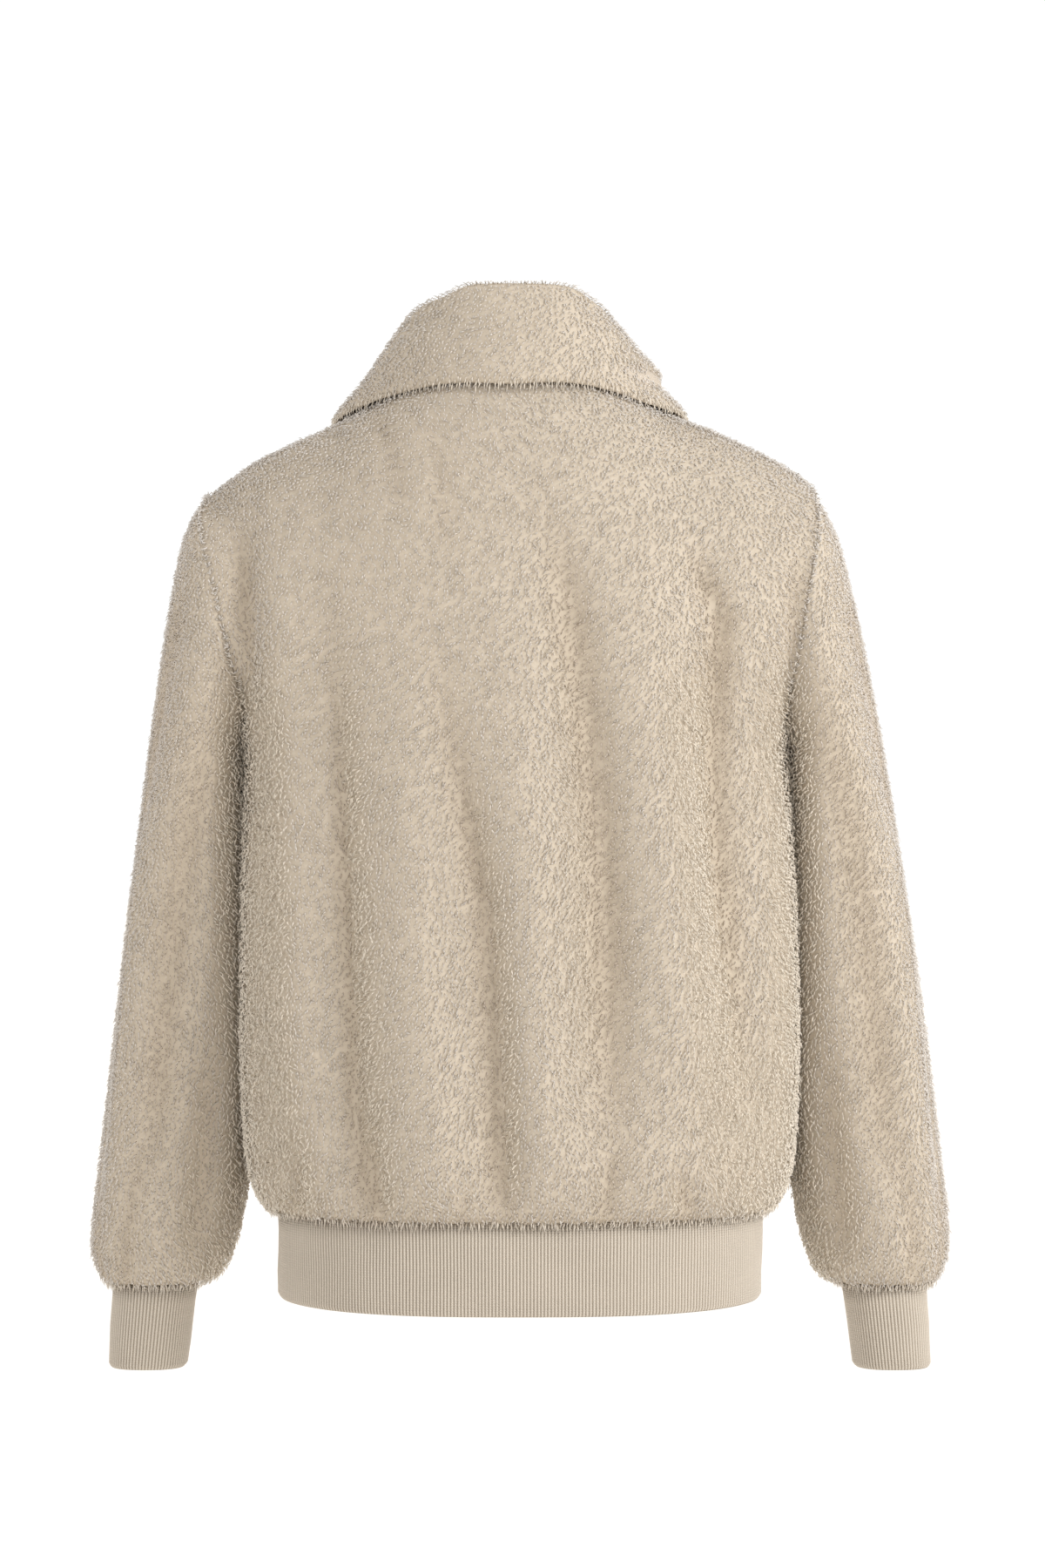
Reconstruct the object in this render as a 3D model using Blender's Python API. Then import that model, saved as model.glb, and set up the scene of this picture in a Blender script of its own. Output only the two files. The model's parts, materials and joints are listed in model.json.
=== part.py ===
"""A pile jacket with a ribbed waistband and cuffs, held in its worn shape with nobody in it.

Metres, +Z up. The jacket faces -Y and its own left is +X. The origin lies midway between the two neck
points of the shoulder seams, where a wearer's shoulders carry the jacket. Each cloth piece is a wall:
an outer surface at the tips of its pile and an inner surface one wall thickness behind it. Outer
surfaces come from short tables of sections, and the folds are added to them as soft ridges and troughs.
"""

import math
from collections import namedtuple

import bmesh
import bpy
import numpy as np
from mathutils import Matrix, Vector
from mathutils.bvhtree import BVHTree

SEAM_GAP = 0.0003
PILE_WALL = 0.0060
RIB_WALL = 0.0030
RIB_RELIEF = 0.0008

# Levels of the body
ARMPIT_Z = -0.232
HEM_Z = -0.553
BAND_BOTTOM_Z = -0.612
SHOULDER_Z = -0.0545
NECK_POINT_X = 0.0895
NAPE_Z = 0.022
NAPE_Y = 0.062
FRONT_NECK_Z = -0.075
FRONT_NECK_Y = -0.088
FRONT_EDGE_X = 0.0090

# The worn jacket leans: above the hem it drifts to its own left, most at the shoulders
LEAN = 0.0075
LEAN_FROM_Z = -0.500
LEAN_HEIGHT = 0.440

# The seam of neck and collar runs through the wall at this slope: 0 is level
NECK_SEAM_SLOPE = math.radians(32)

# The rows below the neckline and shoulder seam turn towards the seam by these shares
NECK_EASING = (0.65, 0.40, 0.20)

# The way a panel's edge faces on the shoulder seam and just under the arm: outwards and up
SHOULDER_SEAM_FACING = (0.40, 0.92)
UNDERARM_FACING = (0.75, -0.66)

# How the neckline drops from the neck point to its middle: 2 is rounder and 1 is straighter
NAPE_DROP = 2.0
FRONT_NECK_DROP = 1.2

# The armhole is an oval from the underarm point up to the shoulder point
UNDERARM_X = 0.1825
SHOULDER_X = 0.2130
ARMHOLE_DEPTH = 0.0760
ARMHOLE_SWEEP = 0.0060

# How far a panel's roundness gives way to the armhole's oval, just above the underarm point and from
# halfway up: a higher power keeps the change nearer to the seam. The underarm point's own reach past
# the body's even curve lies close to the seam too, and ends at this share of the height.
ARMHOLE_BLEND = (3.0, 1.5)
UNDERARM_BLEND = 12
UNDERARM_SHARE = 0.25

# How rounded the rise to the top edge is: 2 is a quarter circle, as over the shoulders, and 1 is straight
SHOULDER_ARCH = 2.0
NAPE_ARCH = 1.7
FRONT_NECK_ARCH = 1.4

# How finely the walls are divided
ARMHOLE_STEPS = 11
BACK_CELLS = 32
FRONT_CELLS = 16
WAISTBAND_RIBS = 384
CUFF_RIBS = 84
WAISTBAND_RIBS_PER_FLAT = 8
CUFF_RIBS_PER_FLAT = 3
BAND_TRACE_STEPS = 1441

BODY_ROUNDNESS = 2.4
SLEEVE_ROUNDNESS = 2.2

BodySection = namedtuple("BodySection", "z half_width back front")
BODY = (
    BodySection(-0.232, 0.1797, 0.1290, 0.1210),
    BodySection(-0.237, 0.1798, 0.1291, 0.1210),
    BodySection(-0.247, 0.1802, 0.1294, 0.1211),
    BodySection(-0.270, 0.1815, 0.1302, 0.1216),
    BodySection(-0.305, 0.1834, 0.1310, 0.1220),
    BodySection(-0.345, 0.1842, 0.1315, 0.1216),
    BodySection(-0.385, 0.1845, 0.1320, 0.1208),
    BodySection(-0.425, 0.1848, 0.1328, 0.1205),
    BodySection(-0.462, 0.1852, 0.1342, 0.1210),
    BodySection(-0.493, 0.1855, 0.1352, 0.1218),
    BodySection(-0.515, 0.1852, 0.1352, 0.1218),
    BodySection(-0.531, 0.1832, 0.1335, 0.1208),
    BodySection(-0.543, 0.1785, 0.1290, 0.1165),
    BodySection(-0.550, 0.1738, 0.1237, 0.1112),
    BodySection(-0.553, 0.1700, 0.1200, 0.1080),
)

SleeveSection = namedtuple("SleeveSection", "inner_x inner_z outer_x outer_z half_depth centre_y")
SLEEVE = (
    SleeveSection(0.1825, -0.2320, 0.2130, -0.0545, 0.0760, 0.0000),
    SleeveSection(0.1837, -0.2350, 0.2180, -0.0705, 0.0775, -0.0005),
    SleeveSection(0.1848, -0.2385, 0.2235, -0.0870, 0.0785, -0.0010),
    SleeveSection(0.1856, -0.2425, 0.2287, -0.1070, 0.0790, -0.0020),
    SleeveSection(0.1861, -0.2475, 0.2335, -0.1280, 0.0790, -0.0030),
    SleeveSection(0.1863, -0.2540, 0.2388, -0.1540, 0.0788, -0.0050),
    SleeveSection(0.1864, -0.2640, 0.2442, -0.1840, 0.0780, -0.0070),
    SleeveSection(0.1865, -0.2790, 0.2500, -0.2160, 0.0768, -0.0100),
    SleeveSection(0.1865, -0.3000, 0.2555, -0.2490, 0.0752, -0.0130),
    SleeveSection(0.1866, -0.3260, 0.2607, -0.2830, 0.0735, -0.0160),
    SleeveSection(0.1868, -0.3560, 0.2660, -0.3200, 0.0715, -0.0200),
    SleeveSection(0.1870, -0.3880, 0.2715, -0.3600, 0.0695, -0.0240),
    SleeveSection(0.1873, -0.4200, 0.2770, -0.4000, 0.0675, -0.0280),
    SleeveSection(0.1876, -0.4520, 0.2822, -0.4400, 0.0655, -0.0310),
    SleeveSection(0.1880, -0.4840, 0.2870, -0.4780, 0.0635, -0.0340),
    SleeveSection(0.1888, -0.5140, 0.2918, -0.5140, 0.0618, -0.0360),
    SleeveSection(0.1905, -0.5400, 0.2965, -0.5420, 0.0602, -0.0380),
    SleeveSection(0.1945, -0.5620, 0.2998, -0.5650, 0.0582, -0.0400),
    SleeveSection(0.1995, -0.5820, 0.3005, -0.5860, 0.0555, -0.0410),
    SleeveSection(0.2055, -0.5980, 0.2950, -0.6000, 0.0500, -0.0420),
    SleeveSection(0.2150, -0.6060, 0.2915, -0.6070, 0.0425, -0.0425),
    SleeveSection(0.2215, -0.6080, 0.2870, -0.6080, 0.0385, -0.0425),
)

BandEnd = namedtuple("BandEnd", "z centre_x centre_y half_width back front")
WAISTBAND = (
    BandEnd(-0.5533, 0.0, 0.0, 0.1668, 0.1165, 0.1045),
    BandEnd(-0.6120, 0.0, 0.0, 0.1662, 0.1160, 0.1040),
)
CUFF = (
    BandEnd(-0.6083, 0.2541, -0.0425, 0.0296, 0.0345, 0.0345),
    BandEnd(-0.6670, 0.2599, -0.0455, 0.0273, 0.0310, 0.0310),
)

# A fold runs from its top to its low end on one face of the jacket. Depth is out of the cloth for a
# ridge and into it for a trough, greatest where peak says, as a share of the way down.
Fold = namedtuple("Fold", "top_x top_z low_x low_z bow width depth peak")
BACK_FOLDS = (
    Fold(0.130, -0.110, 0.110, -0.580, 0.004, 0.015, -0.0085, 0.80),
    Fold(0.162, -0.480, 0.156, -0.560, 0.000, 0.009, -0.0040, 0.50),
    Fold(0.092, -0.505, 0.090, -0.575, 0.000, 0.008, -0.0040, 0.60),
    Fold(0.033, -0.020, 0.021, -0.075, 0.000, 0.010, -0.0035, 0.50),
    Fold(0.058, -0.120, 0.012, -0.580, 0.006, 0.017, -0.0085, 0.78),
    Fold(-0.026, -0.045, -0.053, -0.575, -0.012, 0.020, -0.0075, 0.55),
    Fold(-0.122, -0.090, -0.165, -0.530, 0.010, 0.014, -0.0080, 0.32),
    Fold(0.160, -0.070, 0.152, -0.560, 0.000, 0.013, 0.0040, 0.45),
    Fold(0.088, -0.160, 0.060, -0.570, 0.006, 0.018, 0.0055, 0.70),
    Fold(0.006, -0.070, -0.020, -0.570, 0.004, 0.018, 0.0050, 0.65),
    Fold(-0.074, -0.150, -0.118, -0.565, 0.000, 0.018, 0.0065, 0.60),
    Fold(-0.157, -0.120, -0.170, -0.460, 0.000, 0.010, 0.0035, 0.45),
    Fold(0.174, -0.070, 0.182, -0.175, 0.000, 0.010, -0.0050, 0.50),
)
FRONT_LEFT_FOLDS = (
    Fold(0.125, -0.130, 0.108, -0.580, 0.006, 0.015, -0.0080, 0.78),
    Fold(0.062, -0.200, 0.050, -0.580, -0.004, 0.016, -0.0070, 0.80),
    Fold(0.156, -0.250, 0.150, -0.560, 0.000, 0.012, -0.0040, 0.60),
    Fold(0.092, -0.170, 0.080, -0.565, 0.004, 0.016, 0.0055, 0.65),
    Fold(0.032, -0.330, 0.028, -0.575, 0.000, 0.013, 0.0040, 0.75),
    Fold(0.150, -0.110, 0.140, -0.470, 0.000, 0.014, 0.0040, 0.45),
    Fold(0.172, -0.080, 0.180, -0.180, 0.000, 0.010, -0.0050, 0.50),
)
FRONT_RIGHT_FOLDS = (
    Fold(-0.118, -0.115, -0.134, -0.575, -0.006, 0.015, -0.0075, 0.62),
    Fold(-0.070, -0.230, -0.056, -0.580, 0.004, 0.015, -0.0080, 0.82),
    Fold(-0.150, -0.190, -0.162, -0.540, 0.000, 0.012, -0.0045, 0.40),
    Fold(-0.094, -0.160, -0.096, -0.565, 0.000, 0.017, 0.0055, 0.70),
    Fold(-0.034, -0.280, -0.030, -0.575, 0.000, 0.013, 0.0045, 0.70),
    Fold(-0.172, -0.080, -0.180, -0.180, 0.000, 0.010, -0.0050, 0.50),
)

# Folds die away over this height above the hem, this many rows below the top edge, and these shares
# of a panel's width from its side seam and its front edge
FOLD_HEM_FADE = 0.022
FOLD_TOP_ROWS = 3
FOLD_SIDE_SHARE = 1 / 5
FOLD_EDGE_SHARE = 1 / 7

# A sleeve's folds lie at an angle round it: 0 is its outer side, 90 its back and -90 its front
SleeveFold = namedtuple("SleeveFold", "top_angle top_z low_angle low_z width depth peak")
SLEEVE_FOLDS = (
    SleeveFold(62, -0.130, 30, -0.330, 16, -0.0040, 0.40),
    SleeveFold(95, -0.150, 78, -0.560, 17, -0.0050, 0.60),
    SleeveFold(38, -0.300, 52, -0.585, 15, 0.0040, 0.60),
    SleeveFold(10, -0.360, 18, -0.590, 14, -0.0035, 0.70),
    SleeveFold(-30, -0.280, -22, -0.580, 15, 0.0035, 0.60),
    SleeveFold(-75, -0.150, -55, -0.540, 17, -0.0050, 0.45),
    SleeveFold(-105, -0.300, -98, -0.590, 15, 0.0040, 0.65),
    SleeveFold(112, -0.420, 118, -0.600, 13, -0.0035, 0.60),
)

# The right sleeve's folds are turned by this many degrees, so that the sleeves differ
SLEEVE_FOLD_TURN = 6.0

# A sleeve takes its own form over its first rows: from the round armhole to its own section, from the
# armhole's sweep to none, and from no folds to full ones at each end
SLEEVE_SHAPE_ROWS = 6
SLEEVE_SWEEP_ROWS = 4
SLEEVE_FOLD_ROWS = 3

# The collar, from the nape at 0 degrees round to the front edge at 180: how far out its fold lies
# from the neck seam, the level of the fold, and how far out the leaf's lower edge rests
CollarColumn = namedtuple("CollarColumn", "angle fold_out fold_z edge_out")
COLLAR = (
    CollarColumn(0, 0.0010, 0.0790, 0.0230),
    CollarColumn(30, 0.0000, 0.0780, 0.0205),
    CollarColumn(55, -0.0050, 0.0720, 0.0225),
    CollarColumn(75, -0.0110, 0.0600, 0.0300),
    CollarColumn(90, -0.0130, 0.0460, 0.0370),
    CollarColumn(115, -0.0080, 0.0160, 0.0440),
    CollarColumn(140, -0.0010, -0.0150, 0.0360),
    CollarColumn(162, 0.0020, -0.0400, 0.0250),
    CollarColumn(180, 0.0030, -0.0500, 0.0190),
)
COLLAR_CREASE = 0.0016
COLLAR_LIFT = 0.0018
COLLAR_BOW = 0.0040
COLLAR_LEAF_SHARES = (0.25, 0.5, 0.75, 0.95)
COLLAR_TIP_ROUND = 0.8
ABOVE_JACKET_Z = 0.3

# The centre-front zip
TAPE_INNER_X = 0.0013
TAPE_THICKNESS = 0.0014
SLIDER_Z = -0.0835
ZIP_LEVELS = 16
STRAIGHT_UNDER_SLIDER = 0.0078
SLIDER_WIDTH = 0.0090
SLIDER_LENGTH = 0.0120
SLIDER_PLATE = 0.0015
SLIDER_NECK = 0.0016
SLIDER_STANDOFF = 0.0013
BRIDGE_WIDTH = 0.0020
BRIDGE_HEIGHT = 0.0037
BRIDGE_LENGTH = 0.0090
BRIDGE_BAR = 0.0015
BRIDGE_ROOT = 0.0004
BRIDGE_CHAMFER = (0.0012, 0.0014)
BRIDGE_TAPER = 0.0002
PULL_AXIS_OUT = 0.0039
PULL_CORNER = 0.0015
PULL_THICKNESS = 0.0012
PULL_WIDTH = 0.0080
PULL_LENGTH = 0.0240
PULL_EYE_WIDTH = 0.0032
PULL_EYE_LENGTH = 0.0060

PILE_CREAM = (0.60, 0.51, 0.41)
RIB_CREAM = (0.58, 0.49, 0.39)
TAPE_CREAM = (0.52, 0.44, 0.35)
ZIP_METAL = (0.62, 0.60, 0.56)
CLOTH_ROUGHNESS = 0.95
METAL_ROUGHNESS = 0.35
SMOOTH_ANGLE = math.radians(40)


def clear_scene():
    for old in list(bpy.data.objects):
        bpy.data.objects.remove(old, do_unlink=True)


def plain_material(name, colour, roughness, metallic):
    material = bpy.data.materials.new(name)
    material.use_nodes = True
    shader = material.node_tree.nodes["Principled BSDF"]
    shader.inputs["Base Color"].default_value = (*colour, 1.0)
    shader.inputs["Roughness"].default_value = roughness
    shader.inputs["Metallic"].default_value = metallic
    return material


def smooth_step(value):
    value = np.clip(value, 0.0, 1.0)
    return value * value * (3.0 - 2.0 * value)


def table_value(rows, key, column, at):
    """A smooth curve through one column of a table, read at a value of its key column."""
    keys = np.array([getattr(row, key) for row in rows])
    values = np.array([getattr(row, column) for row in rows])
    if keys[0] > keys[-1]:
        keys = keys[::-1]
        values = values[::-1]
    slopes = np.gradient(values, keys)
    at = np.clip(at, keys[0], keys[-1])
    cell = np.clip(np.searchsorted(keys, at, side="right") - 1, 0, len(keys) - 2)
    span = keys[cell + 1] - keys[cell]
    t = (at - keys[cell]) / span
    rise = (2 * t ** 3 - 3 * t ** 2 + 1) * values[cell] + (3 * t ** 2 - 2 * t ** 3) * values[cell + 1]
    bend = (t ** 3 - 2 * t ** 2 + t) * slopes[cell] + (t ** 3 - t ** 2) * slopes[cell + 1]
    return rise + span * bend


def leaned(points):
    """The points of the upright jacket, drifted sideways as the worn one leans."""
    points = np.array(points, dtype=float)
    share = np.clip((points[..., 2] - LEAN_FROM_Z) / LEAN_HEIGHT, 0.0, 1.0)
    points[..., 0] += LEAN * share ** 2
    return points


def lean_at(z):
    return float(leaned((0.0, 0.0, z))[0])


def surface_normals(grid, closed):
    """Unit normals of a grid of points, from its neighbours along rows and columns."""
    if closed:
        across = np.roll(grid, -1, axis=1) - np.roll(grid, 1, axis=1)
    else:
        across = np.gradient(grid, axis=1)
    along = np.gradient(grid, axis=0)
    normals = np.cross(across, along)
    return normals / np.maximum(np.linalg.norm(normals, axis=-1, keepdims=True), 1e-9)


def panel_normals(grid, face):
    """Unit normals of a body panel's outer surface, facing away from the wearer."""
    normals = surface_normals(grid, False)
    return normals * np.sign(np.median(normals[..., 1] * face))


def finish_object(name, mesh, material):
    mesh.update()
    shaped = bmesh.new()
    shaped.from_mesh(mesh)
    bmesh.ops.recalc_face_normals(shaped, faces=shaped.faces)
    shaped.to_mesh(mesh)
    shaped.free()
    mesh.shade_smooth()
    mesh.set_sharp_from_angle(angle=SMOOTH_ANGLE)
    mesh.materials.append(material)
    built = bpy.data.objects.new(name, mesh)
    bpy.context.scene.collection.objects.link(built)
    return built


def seam_triangles(points, near, far, inner_near, inner_far):
    """The end of a wall between two stations of a seam, cut from the outer corner that lies lower to
    the inner corner that lies higher, so that both sides of the seam have the same facets."""
    if points[near][2] < points[far][2]:
        return [(near, far, inner_far), (near, inner_far, inner_near)]
    return [(near, far, inner_near), (far, inner_far, inner_near)]


def wall_object(name, outer, inner, closed, material):
    """A cloth wall between two grids of points: rows of columns, closed round on a tube."""
    rows, columns = outer.shape[:2]
    cells = columns if closed else columns - 1
    first_inner = rows * columns
    points = np.concatenate((outer.reshape(-1, 3), inner.reshape(-1, 3)))
    faces = []

    def corner(row, column):
        return row * columns + column % columns

    for row in range(rows - 1):
        for column in range(cells):
            quad = (
                corner(row, column),
                corner(row, column + 1),
                corner(row + 1, column + 1),
                corner(row + 1, column),
            )
            faces.append(quad)
            faces.append(tuple(first_inner + index for index in reversed(quad)))
    ends = []
    for row in (0, rows - 1):
        ends.extend((corner(row, column), corner(row, column + 1)) for column in range(cells))
    if not closed:
        for column in (0, columns - 1):
            ends.extend((corner(row, column), corner(row + 1, column)) for row in range(rows - 1))
    for near, far in ends:
        faces.extend(seam_triangles(points, near, far, first_inner + near, first_inner + far))
    mesh = bpy.data.meshes.new(name)
    mesh.from_pydata(leaned(points).tolist(), [], faces)
    return finish_object(name, mesh, material)


def fold_strength(fold, z):
    """How strong a fold is at each level: none at its ends and one at its peak."""
    down = np.clip((fold.top_z - z) / (fold.top_z - fold.low_z), 0.0, 1.0)
    return np.sin(math.pi * down ** (math.log(0.5) / math.log(fold.peak)))


def fold_height(folds, grid):
    """The sum of a panel's folds at each of its points."""
    height = np.zeros(grid.shape[:2])
    x = grid[..., 0]
    z = grid[..., 2]
    for fold in folds:
        down = np.clip((fold.top_z - z) / (fold.top_z - fold.low_z), 0.0, 1.0)
        line = fold.top_x + (fold.low_x - fold.top_x) * down + fold.bow * np.sin(math.pi * down)
        across = (x - line) / fold.width
        height += fold.depth * fold_strength(fold, z) * np.exp(-across ** 2)
    return height


# ---- The armhole, shared by the body panels and the sleeves ----

def armhole_sweep(angle):
    """How far the seam swings inwards below and outwards above the armhole's straight line."""
    return ARMHOLE_SWEEP * math.sin(2.0 * angle) ** 2 * -math.cos(angle)


def armhole_point(side, angle, inset, face):
    """A point of the armhole oval. Angle 0 is the underarm and pi the shoulder point; face is 1 for
    the back half and -1 for the front half; inset is the depth into the wall."""
    centre_x = (UNDERARM_X + SHOULDER_X) / 2
    centre_z = (ARMPIT_Z + SHOULDER_Z) / 2
    rise_x = (SHOULDER_X - UNDERARM_X) / 2
    rise_z = (SHOULDER_Z - ARMPIT_Z) / 2
    half_height = math.hypot(rise_x, rise_z)
    reach = (half_height - inset) / half_height
    x = centre_x - rise_x * reach * math.cos(angle) + armhole_sweep(angle)
    y = (ARMHOLE_DEPTH - inset) * math.sin(angle) * face
    z = centre_z - rise_z * reach * math.cos(angle)
    return (side * x, y, z)


# ---- Body panels ----

def upper_shares():
    """Heights of the panel rows above the armpit, as shares of the way to the panel's top edge."""
    steps = np.arange(ARMHOLE_STEPS + 1) / ARMHOLE_STEPS
    return (1.0 - np.cos(math.pi * steps)) / 2.0


def column_spread(cells):
    """Where a panel's columns stand from its middle (0) to its side (1), low down and at the top.
    The top edge gives half of the columns to the neckline and half to the shoulder seam."""
    steps = np.arange(cells + 1) / cells
    low = np.sin(math.pi / 2 * steps)
    neck_angle = np.clip(2.0 * steps, 0.0, 1.0) * math.pi / 2
    return low, neck_angle, np.clip(2.0 * steps - 1.0, 0.0, 1.0)


def panel_half(side, face, edge_x, neck_y, neck_rise, neck_power, cells, folds):
    """The outer and inner points of one half of a body panel, from its middle edge to its side. Face
    is 1 for the back and -1 for a front. Rows run from the hem up to the neckline and shoulder."""
    low, neck_angle, shoulder = column_spread(cells)
    depth_name = "back" if face > 0 else "front"
    middle_arch = NAPE_ARCH if face > 0 else FRONT_NECK_ARCH
    shares = upper_shares()
    upper_levels = len(shares)
    lower_z = np.array([row.z for row in BODY[:0:-1]])
    rows = len(lower_z) + upper_levels
    grid = np.zeros((rows, cells + 1, 3))
    top_x = edge_x + (NECK_POINT_X - edge_x) * np.sin(neck_angle) + (SHOULDER_X - NECK_POINT_X) * shoulder
    top_y = neck_y * np.cos(neck_angle)
    top_z = neck_rise * np.cos(neck_angle) ** neck_power + SHOULDER_Z * shoulder
    bend = middle_arch + (SHOULDER_ARCH - middle_arch) * neck_angle / (math.pi / 2)
    round_off = (1.0 - low ** BODY_ROUNDNESS) ** (1.0 / BODY_ROUNDNESS)
    underarm_lip = UNDERARM_X - BODY[0].half_width
    for row, z in enumerate(lower_z):
        half_width = table_value(BODY, "z", "half_width", z)
        depth = table_value(BODY, "z", depth_name, z)
        grid[row, :, 0] = edge_x + (half_width - edge_x) * low
        grid[row, :, 1] = face * depth * round_off
        grid[row, :, 2] = z
    for step, share in enumerate(shares):
        row = len(lower_z) + step
        angle = math.pi * step / ARMHOLE_STEPS
        edge = armhole_point(1, angle, 0.0, face)
        arch = (1.0 - share ** bend) ** (1.0 / bend)
        across = low * arch + (top_x - edge_x) / (SHOULDER_X - edge_x) * (1.0 - arch)
        side_depth = 2.0 * ARMHOLE_DEPTH * math.sqrt(share / (1.0 + share))
        across_round = (1.0 - np.clip(across, 0, 1) ** BODY_ROUNDNESS) ** (1.0 / BODY_ROUNDNESS)
        chest = getattr(BODY[0], depth_name)
        power = ARMHOLE_BLEND[0] + (ARMHOLE_BLEND[1] - ARMHOLE_BLEND[0]) * smooth_step(2.0 * share)
        depth = chest * across_round + side_depth * (1.0 - across_round) ** power
        lip = underarm_lip * (1.0 - smooth_step(share / UNDERARM_SHARE))
        grid[row, :, 0] = edge_x + (edge[0] - lip - edge_x) * across + lip * across ** UNDERARM_BLEND
        grid[row, :, 1] = top_y * (1.0 - arch) + face * depth * arch
        grid[row, :, 2] = ARMPIT_Z + share * (top_z - ARMPIT_Z)
        grid[row, -1] = edge
    grid[..., 0] *= side
    grid = folded_panel(grid, folds, face, edge_x)
    inner = panel_inner(grid, face, side, len(lower_z))
    return grid, inner


def folded_panel(grid, folds, face, edge_x):
    """The panel with its folds, which die away at its side, its top edge, its hem and a front edge."""
    rows, columns = grid.shape[:2]
    steps = np.arange(columns) / (columns - 1)
    across_fade = smooth_step((1.0 - steps) / FOLD_SIDE_SHARE)
    if edge_x > 0:
        across_fade *= smooth_step(steps / FOLD_EDGE_SHARE)
    hem_fade = smooth_step((grid[:, 0, 2] - HEM_Z) / FOLD_HEM_FADE)
    top_fade = smooth_step((rows - 1 - np.arange(rows)) / FOLD_TOP_ROWS)
    height = fold_height(folds, grid) * across_fade[None, :] * (hem_fade * top_fade)[:, None]
    return grid + panel_normals(grid, face) * height[..., None]


def panel_inner(grid, face, side, armpit_row):
    """The inner surface of a panel. Along each seam it lies square behind the outer edge, so that the
    two pieces of a seam meet face to face."""
    normals = panel_normals(grid, face)
    columns = grid.shape[1]
    normals[:, 0, 0] = 0.0
    normals[0, :, 2] = 0.0
    normals[:armpit_row, -1] = (side, 0.0, 0.0)
    normals[armpit_row - 1, -1] = (side * UNDERARM_FACING[0], 0.0, UNDERARM_FACING[1])
    top = normals[-1]
    top[:] = (side * SHOULDER_SEAM_FACING[0], 0.0, SHOULDER_SEAM_FACING[1])
    level = math.cos(NECK_SEAM_SLOPE)
    half = (columns - 1) // 2
    for column in range(half + 1):
        spread = column / half * math.pi / 2
        out_x = side * math.sin(spread) * level
        top[column] = (out_x, face * math.cos(spread) * level, math.sin(NECK_SEAM_SLOPE))
    for below, share in enumerate(NECK_EASING, start=2):
        normals[-below] = normals[-below] * (1.0 - share) + top * share
    normals /= np.linalg.norm(normals, axis=-1, keepdims=True)
    inner = grid - normals * PILE_WALL
    for step in range(ARMHOLE_STEPS + 1):
        angle = math.pi * step / ARMHOLE_STEPS
        inner[armpit_row + step, -1] = armhole_point(side, angle, PILE_WALL, face)
    return inner


def back_panel(material):
    halves = []
    for side in (-1, 1):
        halves.append(
            panel_half(side, 1, 0.0, NAPE_Y, NAPE_Z, NAPE_DROP, BACK_CELLS // 2, BACK_FOLDS)
        )
    outer = np.concatenate((halves[0][0][:, ::-1], halves[1][0][:, 1:]), axis=1)
    inner = np.concatenate((halves[0][1][:, ::-1], halves[1][1][:, 1:]), axis=1)
    outer[..., 1] += SEAM_GAP / 2
    inner[..., 1] += SEAM_GAP / 2
    return wall_object("back", outer, inner, False, material)


def front_grids(side):
    folds = FRONT_LEFT_FOLDS if side > 0 else FRONT_RIGHT_FOLDS
    outer, inner = panel_half(
        side, -1, FRONT_EDGE_X, FRONT_NECK_Y, FRONT_NECK_Z, FRONT_NECK_DROP, FRONT_CELLS, folds
    )
    outer[..., 1] -= SEAM_GAP / 2
    inner[..., 1] -= SEAM_GAP / 2
    return outer, inner


def front_panel(name, side, material):
    outer, inner = front_grids(side)
    return wall_object(name, outer, inner, False, material)


# ---- Sleeves ----

def sleeve_fold_height(angles, z, turn):
    """The sum of a sleeve's folds round one of its sections, all turned by some degrees."""
    height = np.zeros(len(angles))
    degrees = np.degrees(angles)
    for fold in SLEEVE_FOLDS:
        down = float(np.clip((fold.top_z - z) / (fold.top_z - fold.low_z), 0.0, 1.0))
        centre = fold.top_angle + (fold.low_angle - fold.top_angle) * down + turn
        away = (degrees - centre + 180.0) % 360.0 - 180.0
        height += fold.depth * fold_strength(fold, z) * np.exp(-(away / fold.width) ** 2)
    return height


def sleeve_section(side, section, row):
    """One ring of a sleeve, outer and inner. Points start at the underarm and go round by the back."""
    steps = np.arange(2 * ARMHOLE_STEPS)
    angles = math.pi * steps / ARMHOLE_STEPS
    power = 2.0 / (2.0 + (SLEEVE_ROUNDNESS - 2.0) * smooth_step(row / SLEEVE_SHAPE_ROWS))
    sweep_share = 1.0 - smooth_step(row / SLEEVE_SWEEP_ROWS)
    centre = np.array((section.inner_x + section.outer_x, section.inner_z + section.outer_z)) / 2
    half = np.array((section.outer_x - section.inner_x, section.outer_z - section.inner_z)) / 2
    half_width = float(np.hypot(*half))
    turn = SLEEVE_FOLD_TURN if side < 0 else 0.0
    height = sleeve_fold_height(math.pi - angles, float(centre[1]), turn)
    height *= smooth_step((row - 1) / SLEEVE_FOLD_ROWS)
    height *= smooth_step((len(SLEEVE) - 1 - row) / SLEEVE_FOLD_ROWS)
    rings = []
    for inset in (0.0, PILE_WALL):
        across = -np.sign(np.cos(angles)) * np.abs(np.cos(angles)) ** power
        deep = np.sign(np.sin(angles)) * np.abs(np.sin(angles)) ** power
        reach = (half_width - inset + height) / half_width
        sweep = np.array([armhole_sweep(angle) for angle in angles]) * sweep_share
        x = centre[0] + half[0] * reach * across + sweep
        y = section.centre_y + (section.half_depth - inset + height) * deep
        z = centre[1] + half[1] * reach * across
        rings.append(np.stack((side * x, y, z), axis=-1))
    return rings


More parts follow.
